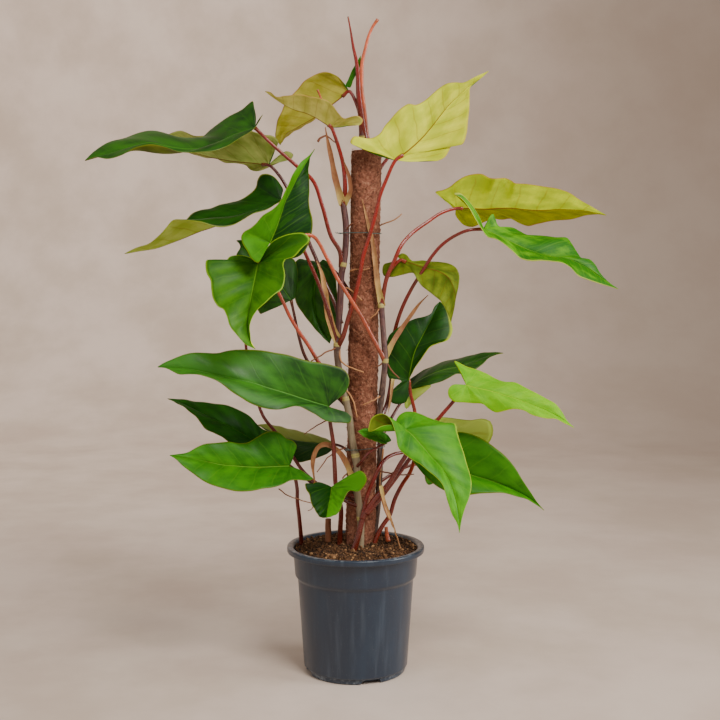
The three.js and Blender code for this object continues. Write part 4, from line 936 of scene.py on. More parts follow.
         [(338, 113, -46), (344, 118.5, -43), (352, 116, -42), (359, 116, -43), (363, 120.5, -44),
          (361, 124.8, -42), (352, 125, -39), (344, 126, -36), (337, 127, -32)]),
        ([(275, 98, -70), (288, 102, -52), (302, 106, -38), (316, 110, -26), (326, 114, -18)],
         [(335, 119, -15), (341, 124, -18), (338, 127, -25)])),
    "leaf_upper_right": ("yellow", "yellow",
        [(396, 160, -40), (410, 149.5, -37), (422, 138.5, -34), (432, 127.5, -31), (440, 117, -28),
         (450, 105, -25), (460, 95, -22), (468, 88, -20), (478, 80, -17), (489, 70.5, -14)],
        ([(480, 79, -17), (471, 86, -21), (469.5, 97, -28), (469.3, 110, -34), (468.3, 122, -38),
          (466.3, 134, -41), (462, 144.5, -43), (455, 144.5, -40)],
         [(451.5, 145.5, -38), (449, 151, -40), (445, 157, -42), (438, 160.4, -43), (428, 161, -43),
          (418, 161.2, -42), (407, 161.3, -41)]),
        ([(480, 75, -14), (472, 79, -12), (464, 82, -8), (455, 82.7, -4), (447, 84, -2), (440, 87.5, -1),
          (434, 92.5, -2), (428, 98, -6), (421, 102.8, -12), (415, 104.8, -18), (409, 104, -20),
          (402, 107.5, -20), (396, 113, -20), (390, 119.5, -20), (385, 125.5, -22)],
         [(380, 133, -25), (375.5, 136.8, -28), (370, 138.6, -30), (362, 138, -33), (353.5, 136.3, -36),
          (350, 141.8, -38), (359, 147, -40), (370, 151.8, -41), (383, 155.3, -42), (391, 158.8, -42)])),
    "leaf_right_high": ("gold", "olive",
        [(456, 208.5, 5), (470, 208.6, 3), (485, 209, 2), (500, 208.6, 0), (512, 208, -1),
         (525, 209.3, -3), (540, 210, -5), (560, 209.6, -8), (580, 210.2, -10), (595, 212, -11),
         (607, 215.2, -12)],
        ([(592, 214.7, 4), (578, 218, 18), (562, 220.5, 28), (545, 222, 36), (536, 224.3, 40),
          (529, 226.7, 42), (520, 223.8, 42), (511, 218.3, 42), (502, 219.7, 42)],
         [(492, 219, 42), (482, 222.5, 40), (472, 226.7, 36), (464, 225, 30), (458.5, 219, 22),
          (455.5, 213, 12)]),
        ([(590, 206, 0), (581, 200, 5), (570, 193.3, 10), (560, 189.3, 14), (543, 186.3, 18),
          (525, 184.3, 20), (515, 183.2, 20), (511.5, 181, 28), (508, 178.8, 32), (502, 178.2, 18),
          (496, 178.3, 14), (489, 178, 26), (483, 174.5, 30), (473, 174, 28), (465, 176, 27)],
         [(457, 181.2, 25), (450, 187, 22), (443, 190, 18), (435.5, 191.7, 14), (443.5, 199, 12),
          (449.5, 204, 9), (453.5, 207.5, 7)])),
    "leaf_right_wavy": ("wavy", "mid",
        [(484, 229, -40), (500, 236.5, -46), (515, 243.5, -52), (530, 250.5, -58), (548, 256, -64),
         (566, 258.5, -70), (582, 265.5, -76), (600, 277, -83), (618.5, 289.3, -90)],
        ([(608, 281.5, -86), (600, 272, -80), (594, 263.5, -74), (589, 258.8, -70), (582, 258.3, -66),
          (577, 252, -60), (572, 243.5, -54), (567, 238, -48), (555, 237, -42), (540, 236, -36),
          (527, 234, -31), (519, 230.5, -29), (512, 227.3, -28)],
         [(504, 228.7, -29), (498, 225.5, -31), (495.5, 219, -33), (493, 214, -35), (489, 216.5, -37),
          (486.5, 222, -38)]),
        ([(604, 284.5, -92), (590, 280.5, -93), (578, 275.7, -93), (571, 268.5, -92), (563, 264, -90),
          (553, 261, -87), (543, 260.7, -84), (530, 261.7, -80), (521, 258.7, -76), (513, 251.5, -71),
          (504, 244.5, -66), (495, 239.5, -61)],
         [(488, 238, -57), (482, 229.5, -54), (475, 218, -52), (468, 206.5, -50), (460, 197.5, -48),
          (453.5, 193.5, -46), (459, 192.5, -45), (466.5, 198, -44), (473.5, 207.5, -43),
          (480, 219, -42)])),
    "leaf_right_arching": ("olive", "yellow",
        [(400.5, 259.8, -17), (412, 264, -20), (425, 268.5, -24), (438, 271.5, -30), (448, 277, -38),
         (454, 287, -45), (455, 297, -50), (453, 310, -53), (451, 322, -55)],
        ([(447, 312, -53), (441, 302, -50), (434, 295.5, -45), (427, 290.3, -38), (421, 285, -32),
          (417, 279, -27), (413.5, 273.5, -23)],
         [(402, 275, -18), (391, 277.5, -14), (383.5, 275.5, -11), (382, 270, -10), (383.5, 264.5, -10),
          (390, 262, -12)]),
        ([(453.7, 310, -54), (456.2, 298, -50), (458.7, 285, -44), (459.2, 274, -36), (455, 267, -28),
          (448, 263, -21), (440, 262, -15), (430, 261.7, -10), (421, 260.3, -8)],
         [(415, 262, -8), (410, 259.5, -9), (406.5, 255, -11), (402, 253.6, -13), (398, 256.5, -15)])),
    "leaf_right_rolled": ("rolled", "mid",
        [(409, 380, 1), (411, 368, 0), (415, 352, 1), (422, 337, 6), (431, 320, 16), (440, 301.3, 30)],
        ([(435, 306, 24), (431, 313, 16), (425, 316.3, 9), (415, 318.8, 3), (405, 323.3, -1),
          (396, 329.3, -4), (389, 335, -4), (386.5, 345, -4), (386, 357, -4)],
         [(386.5, 370, -5), (390, 379, -6), (397, 379.5, -7), (402, 380.5, -8), (396, 387, -10),
          (389, 395, -12), (391, 402, -12), (399, 404.5, -11), (406, 402, -8), (408.5, 392, -3)]),
        ([(445, 306, 24), (449, 314, 18), (451.5, 323, 12), (452.3, 331, 7), (449.5, 338.5, 1),
          (444, 342, -5), (437, 343.5, -9), (431, 346, -11), (427, 351, -12), (423, 357, -11)],
         [(418, 363.5, -9), (413.5, 371, -6), (410.5, 376, -3)])),
    "leaf_right_narrow": ("narrow", "dark",
        [(409, 389, 45), (418, 381, 46), (430, 375, 48), (442, 370.7, 50), (456, 367, 53), (470, 363, 56),
         (485, 357, 58), (504, 353, 60)],
        ([(495, 352.1, 62), (485, 352.4, 66), (474, 354.5, 72), (463, 357.3, 78), (452, 359.8, 80),
          (442, 362.5, 80), (433, 366, 78), (425, 369.8, 74)],
         [(418, 373.5, 68), (411, 378, 60), (406, 383, 54), (405, 388, 49)]),
        ([(496, 354.7, 55), (489, 358.5, 50), (482, 364.5, 45), (474, 371, 41), (465, 374, 38),
          (457, 374.3, 36), (449, 378, 35), (440, 382, 35), (431, 384.7, 36)],
         [(418, 390, 40), (410, 395, 38), (405.5, 401, 33), (404.5, 405, 31), (406, 408.5, 30),
          (412, 402.5, 28), (419, 397, 26), (426, 391, 26), (431, 386.5, 28)])),
    "leaf_right_lime": ("lime", "lime",
        [(466, 385.5, -30), (475, 387.5, -32), (490, 391, -36), (505, 395.3, -40), (518, 400, -44),
         (530, 404.5, -48), (545, 410, -53), (558, 416.5, -58), (574.5, 428, -66)],
        ([(567, 421, -62), (562, 412, -56), (555, 403.5, -50), (546, 398, -44), (536, 393, -38),
          (526, 387.5, -32), (516, 383, -27), (505, 381.5, -22), (496, 378.5, -18), (488, 374.5, -14)],
         [(478, 370, -12), (467, 366.5, -13), (454.3, 361.5, -15), (458, 369, -20), (462, 377, -25)]),
        ([(566, 424, -68), (556, 419, -70), (543, 417.5, -69), (532, 415, -66), (524, 410.5, -62),
          (514, 409.3, -58), (504, 411.5, -55), (496, 412.7, -52), (489, 409, -48), (483, 404.5, -45)],
         [(474, 403.5, -42), (464, 402.2, -41), (454, 401.7, -40), (449, 397, -38), (448.7, 389, -36),
          (453, 384.7, -33), (460, 384.3, -31)])),
    "leaf_low_right_front": ("fresh", "mid",
        [(405, 429.5, -60), (411, 433.5, -64), (418, 441, -69), (425, 449, -74), (432, 457, -79),
         (440, 466.5, -85), (447, 476.5, -91), (452, 488, -98), (456, 501, -104), (458.5, 516, -110),
         (459.5, 533.5, -115)],
        ([(461.7, 520, -112), (465.7, 508, -107), (469.7, 497, -101), (471.7, 486, -94), (470, 475, -86),
          (467, 463, -78), (463.5, 451, -70), (460, 440, -62), (457.3, 431, -55)],
         [(455, 424, -50), (446, 422.7, -45), (437, 420.5, -41), (428, 417, -38), (420, 414, -37),
          (412, 412.2, -39), (404, 412.5, -43), (398, 416, -47), (396, 421, -52), (399, 426, -57)]),
        ([(457, 523, -114), (452, 514, -112), (448.5, 503, -109), (445.5, 493, -106), (442, 484, -103),
          (436, 477, -99), (428, 470.5, -95), (420, 464, -91), (413, 459.5, -87), (405, 454.5, -82),
          (399, 448.5, -77)],
         [(395.5, 434, -73), (393.5, 426, -68), (390, 419, -64), (384, 414.3, -62), (377, 414.5, -60),
          (371.5, 418.5, -60), (369, 425, -62), (368.5, 431.5, -64), (374, 430.5, -66), (381, 426.5, -66),
          (389, 425, -65)])),
    "leaf_small_low": ("mid", "mid",
        [(387, 442.5, -38), (379, 437.5, -41), (370, 433.5, -45), (358, 431.5, -48)],
        ([(363, 436, -52), (370, 439, -52), (377, 442.3, -50)],
         [(383, 443.6, -46), (387, 444, -42)]),
        ([(362, 429, -46), (369, 428.8, -42), (377, 430, -38)],
         [(384, 432.5, -35), (389.5, 437, -35), (391, 440.5, -37)])),
    "leaf_low_right_behind": ("mid", "dark",
        [(420, 446, 3), (436, 458, 0), (455, 468.5, -4), (471, 475, -8), (490, 480.5, -13),
         (512, 489.5, -18), (528, 498, -22), (544.5, 510.5, -26)],
        ([(537, 502, -26), (530, 491, -25), (522, 478, -23), (514, 466, -20), (505, 456, -17),
          (495, 447.5, -13), (485, 440.3, -8), (475, 435, -2), (465, 432.5, 4), (452, 431, 9),
          (440, 428, 12)],
         [(431, 424, 14), (435, 418.5, 18), (446, 417.5, 20), (457, 419, 20), (470, 420, 20),
          (484, 419, 19), (490, 421, 18), (493, 427.5, 17), (493, 434, 17), (491, 439.5, 16)]),
        ([(535, 503.7, -29), (524, 498.2, -32), (510, 494.7, -35), (496, 493, -37), (482, 493.5, -38),
          (468, 494.7, -38), (455, 494, -36), (444, 490.3, -33)],
         [(435, 484.7, -29), (427, 477.7, -25), (420, 470.7, -20), (414, 462.7, -15), (409, 456, -10),
          (410, 449, -4), (415, 446, 0)])),
}

print("blades in view:", len(LEAVES))

# %% [markdown]
# The leaves at the back hang with their upper face to the viewer and have no folds of their own. One
# plain arrowhead serves them all. It could be one mesh copied four times, but their lengths and widths
# differ, so it is a function of these.

# %% Outline of a rear blade
# finish, tone of the slot, base, tip, how far the midrib bows up in mm, and half a blade's width, the
# lean of that half towards the viewer in degrees, and the length of its lobe
REAR_LEAVES = {
    "leaf_back_1": ("shade", "dark", (246, 306, 8), (236, 262, 95), 14, (24, 10, 8)),
    "leaf_back_2": ("mid", "mid", (430, 462, 66), (484, 468, 170), 16, (34, 20, 14)),
    "leaf_back_3": ("glossy", "dark", (298, 388, 62), (246, 384, 165), 16, (28, 20, 12)),
    "leaf_back_4": ("mid", "mid", (408, 142, 56), (428, 124, 170), 12, (26, 20, 12)),
}
# where a row leaves the midrib, where it ends along the blade, and how far across, as shares
MARGIN = np.array([(1, 0), (0.94, 0.07), (0.84, 0.24), (0.71, 0.49), (0.56, 0.74), (0.4, 0.92),
                   (0.23, 1), (0.07, 0.97)])
# round the lobe: lobe lengths behind the base, and how far across
LOBE = np.array([(0.3, 0.9), (0.8, 0.68), (1, 0.42), (0.72, 0.2), (0.2, 0.04)])
FRONT = np.array([0.0, -1.0, 0.0])


def plain_outline(base, tip, bow, half):
    """Midrib and margins of a blade with no folds of its own: the midrib is a quadratic curve, and
    each half is the same arrowhead shape, turned towards the viewer by its lean."""
    width, lean, reach = half
    base, tip = seen([base, tip])
    length = np.linalg.norm(tip - base)
    forward = unit(FRONT - FRONT @ (tip - base) * (tip - base) / length ** 2)
    sideways = np.cross(forward, (tip - base) / length)
    t = np.linspace(0, 1, 6)[:, None]
    rib = base + (tip - base) * t + 4 * np.array([0, 0, bow]) * t * (1 - t)
    back = unit(rib[0] - rib[1])
    sides = []
    for hand in (1, -1):
        out = hand * np.cos(np.radians(lean)) * sideways + np.sin(np.radians(lean)) * forward
        body = on_line(rib, MARGIN[:, 0]) + out * width * MARGIN[:, 1:]
        lobe = base + back * reach * LOBE[:, :1] + out * width * LOBE[:, 1:]
        sides.append((body, lobe))
    return rib, *sides


print("rear blades:", len(REAR_LEAVES))

# %% [markdown]
# A leaf's upper face is deep glossy green with a pale midrib and fine side veins, and young leaves
# are a lighter yellow green. The underside is duller and more yellow, and its ribs are red. One
# finish reads the numbers on the points: `side` tells the faces apart, `across` gives the midrib at
# zero, and `vein` counts the rows, so a line at each fixed step of it is a side vein. An image could
# hold the veins, but would need its own map for each leaf. The colours are fuller than the leaf
# looks, because the soft light lays a pale sheen over every blade.

# %% Leaf finishes
def leaf_finish(name, deep, light, under, under_light, rib=(112, 160, 30), rim=(120, 130, 20), gloss=0.42,
                specks=0.0, lean=0.0, tip_painted_light=0.35, rim_half=0, rim_width=0.04, shine=0.15):
    """Green made of a deep and a light tone in soft patches, lighter between the veins, with drawn midrib
    and side veins, on the upper face; the same in olive below. The upper face also carries painted light:
    it is painted lighter towards the tip and darker towards the base, and a lean above 0 paints the left
    half lighter and the right half darker. rim_half keeps the pale rim to one half."""
    leaf = Finish(name, Specular_IOR_Level=shine, Coat_Roughness=0.3, Subsurface_Weight=0.04,
                  Subsurface_Scale=0.003)
    deep, light, under, under_light, rib, rim = (rgb(*c) for c in (deep, light, under, under_light, rib, rim))
    spot = leaf.place()
    side = leaf.ramp(leaf.number("side"), -0.3, 0.3)
    across, vein, own = leaf.number("across"), leaf.number("vein"), leaf.number("own")
    off = abs(across)
    wander = (leaf.noise(spot, 22, 2) - 0.5) * 0.55
    phase = vein * VEIN_STEP + wander
    line = phase.zigzag(0.5)
    inside = leaf.ramp(off, 0.0, 0.05) * (1 - leaf.ramp(off, 0.8, 1.0))
    side_vein = (1 - leaf.ramp(line, 0.0, 0.055)) * inside
    small_vein = (1 - leaf.ramp((phase * 3 + wander).zigzag(0.5), 0.0, 0.16)) * inside
    fine = leaf.ramp(leaf.noise(leaf.together(vein * 30, off * 2.5), 1.0, 2), 0.45, 0.7)
    midrib = 1 - leaf.ramp(off, 0.010, 0.030)
    cloud = leaf.noise(leaf.together(vein * 0.55 + own * 3, across * 1.6), 1.3, 3, 0.55)
    patches = leaf.ramp(cloud, 0.36, 0.66)
    between = leaf.ramp(line, 0.05, 0.5)
    # painted light and shade on the halves: the lean paints one half of the blade lighter and the other
    # darker
    half = leaf.ramp(across, -0.12, 0.12)
    # painted light: the blade is painted lighter towards the tip and darker towards the base
    painted_light_tipward = leaf.ramp(vein, 10.0, 2.0)
    green = leaf.mix(patches * 0.5 + between * 0.15 + painted_light_tipward * tip_painted_light + (half - 0.5) * lean, deep, light)
    green = leaf.mix(fine * 0.12 + small_vein * 0.1, green, light)
    green = leaf.mix(side_vein * 0.13, green, rib)
    green = leaf.mix(midrib * 0.6, green, rib)
    olive = leaf.mix(patches * 0.7 + between * 0.25, under, under_light)
    olive = leaf.mix(fine * 0.14 + small_vein * 0.12, olive, under)
    olive = leaf.mix(side_vein * 0.26, olive, UNDER_RIB)
    olive = leaf.mix(midrib * 0.85, olive, UNDER_RIB)
    skin = leaf.mix(side, olive, green)
    if specks:
        spots = leaf.ramp(leaf.noise(spot, 900, 3, 0.6), 0.6, 0.66) * (1 - leaf.ramp(off, 0.05, 0.3))
        skin = leaf.mix(spots * specks, skin, rgb(110, 66, 20))
    edge = leaf.ramp(off, 1 - rim_width, 1 - rim_width / 4)
    if rim_half:
        edge = edge * leaf.ramp(across * rim_half, 0.0, 0.2)
    leaf.set("Base Color", leaf.mix(edge * 0.65, skin, rim))
    duller = fine * 0.06 + patches * 0.08 + leaf.ramp(vein, 6.5, 10.5) * 0.12
    leaf.set("Roughness", 0.6 - side * (0.6 - gloss) + duller)
    leaf.set("Coat Weight", side * 0.05)
    relief = between * 0.35 - side_vein * 0.2 - midrib * 0.5 + fine * 0.08
    leaf.bump(relief + leaf.noise(spot, 400, 3) * 0.1, 0.3)
    return leaf


UNDER_RIB = rgb(110, 18, 10)
# a deep and a light tone of the upper face, and of the underside
GREENS = {"glossy": ((4, 38, 8), (56, 120, 24)), "dusky": ((10, 44, 4), (46, 104, 8)),
          "shade": ((10, 62, 0), (34, 104, 2)), "deep": ((8, 42, 0), (28, 84, 2)),
          "upright": ((4, 46, 0), (66, 132, 4)), "mid": ((24, 88, 0), (64, 138, 2)),
          "fresh": ((34, 106, 0), (90, 168, 8)), "wavy": ((34, 104, 0), (120, 190, 0)),
          "bright": ((28, 84, 0), (76, 134, 0)), "lime": ((92, 162, 0), (134, 200, 0)),
          "strip": ((10, 52, 2), (108, 116, 48))}
UNDERS = {"dull": ((76, 92, 12), (118, 132, 40)), "olive": ((74, 94, 8), (122, 138, 30)),
          "sage": ((124, 146, 54), (182, 196, 106)), "pale": ((152, 178, 56), (186, 206, 92)),
          "yellow": ((180, 192, 14), (226, 230, 60)), "gold": ((134, 150, 0), (180, 192, 2)),
          "straw": ((150, 146, 34), (194, 184, 76)), "cream": ((178, 178, 72), (216, 212, 112))}
# the lean and the tip weight of a look set how much painted light and shade it carries on its halves and
# towards its tip
LEAF_LOOKS = {
    "glossy": ("glossy", "dull", {"rib": (90, 150, 40), "tip_painted_light": 0.75, "gloss": 0.36, "shine": 0.24}),
    "dusky": ("dusky", "dull", {"rib": (70, 130, 24), "shine": 0.2}),
    "narrow": ("dusky", "pale", {"shine": 0.24}),
    "shade": ("shade", "dull", {"rib": (60, 110, 16)}),
    "strip": ("strip", "olive", {"lean": -1.6, "rib": (60, 90, 16)}),
    "deep": ("deep", "pale", {"rib": (70, 130, 20), "rim": (150, 160, 40), "rim_width": 0.06}),
    "rolled": ("deep", "pale", {"rim": (190, 206, 40), "rim_half": -1, "rim_width": 0.13}),
    "upright": ("upright", "olive", {"lean": 1.1, "tip_painted_light": 0.2, "shine": 0.07}),
    "mid": ("mid", "pale", {}),
    "speckled": ("mid", "olive", {"specks": 0.6}),
    "fresh": ("fresh", "olive", {"rim": (176, 196, 50)}),
    "wavy": ("wavy", "yellow", {"tip_painted_light": -0.3, "rim": (206, 210, 90), "rim_half": -1, "rim_width": 0.08}),
    "bright": ("bright", "yellow", {"rim": (150, 190, 20)}),
    "lime": ("lime", "yellow", {"rib": (180, 210, 30), "rim": (200, 196, 50), "shine": 0.05}),
    "yellow": ("mid", "yellow", {"rim": (190, 160, 60)}),
    "gold": ("mid", "gold", {"rim": (176, 120, 40), "shine": 0.08}),
    "straw": ("mid", "straw", {"rim": (170, 110, 50)}),
    "cream": ("mid", "cream", {"rim": (176, 110, 60)}),
    "olive": ("mid", "olive", {"rim": (150, 150, 50)}),
    "sage": ("mid", "sage", {"rim": (130, 110, 50)}),
}
LEAF_FINISHES = {}
for name, (green, under, more) in LEAF_LOOKS.items():
    LEAF_FINISHES[name] = leaf_finish("leaf_" + name, *GREENS[green], *UNDERS[under], **more)
print("leaf finishes:", len(LEAF_FINISHES))

# %% [markdown]
# With lines and finishes ready, each blade is one call, so that a change to the surface reaches all
# of them. The lighter leaves, which are younger, are puckered more between their veins.

# %% Grow the blades
QUILTED = {"leaf_upper_right": 0.4, "leaf_lime_hanging": 0.3, "leaf_right_lime": 0.25}


def read_half(tip, margin, lobe):
    """A half's margin and lobe in mm, each point with its arch. The margin starts at the tip."""
    body = [tip, *margin]
    places = seen([point[:3] for point in (*body, *lobe)])
    arches = [sum(point[3:]) for point in (*body, *lobe)]
    both = np.column_stack([places, arches])
    return both[:len(body)], both[len(body):]


for name, (finish, tone, rib, left, right) in LEAVES.items():
    sides = [read_half(rib[-1], *half) for half in (left, right)]
    leaf_piece(name, [name], LEAF_FINISHES[finish], tone, seen(rib), *sides, quilt=QUILTED.get(name, 0.14))
for name, (finish, tone, *shape) in REAR_LEAVES.items():
    leaf_piece(name, [name], LEAF_FINISHES[finish], tone, *plain_outline(*shape))

# %% [markdown]
# Behind the tip of the shoot a young leaf is still folded. It is small and soft, so it has no solid of
# its own. It could be left out, but the tip would look bare. It is read as the others are, and its
# grid is coarser.

# %% A young leaf
YOUNG_RIB = [(347.5, 87, 9), (351, 77, 8), (355.5, 68, 8), (361, 55.5, 8)]
YOUNG_LEFT = ([(356.5, 63, 9), (352, 71, 10)], [(348, 80, 10), (345.8, 86, 10)])
YOUNG_RIGHT = ([(360.5, 63, 5), (357.5, 71, 5)], [(353.5, 80, 5), (349.5, 88, 7)])
sides = [read_half(YOUNG_RIB[-1], *half) for half in (YOUNG_LEFT, YOUNG_RIGHT)]
leaf_piece("leaf_young", [], LEAF_FINISHES["mid"], "mid", seen(YOUNG_RIB), *sides,
           body_rows=40, lobe_rows=12, columns=8, wave=0.1, quilt=0.05)
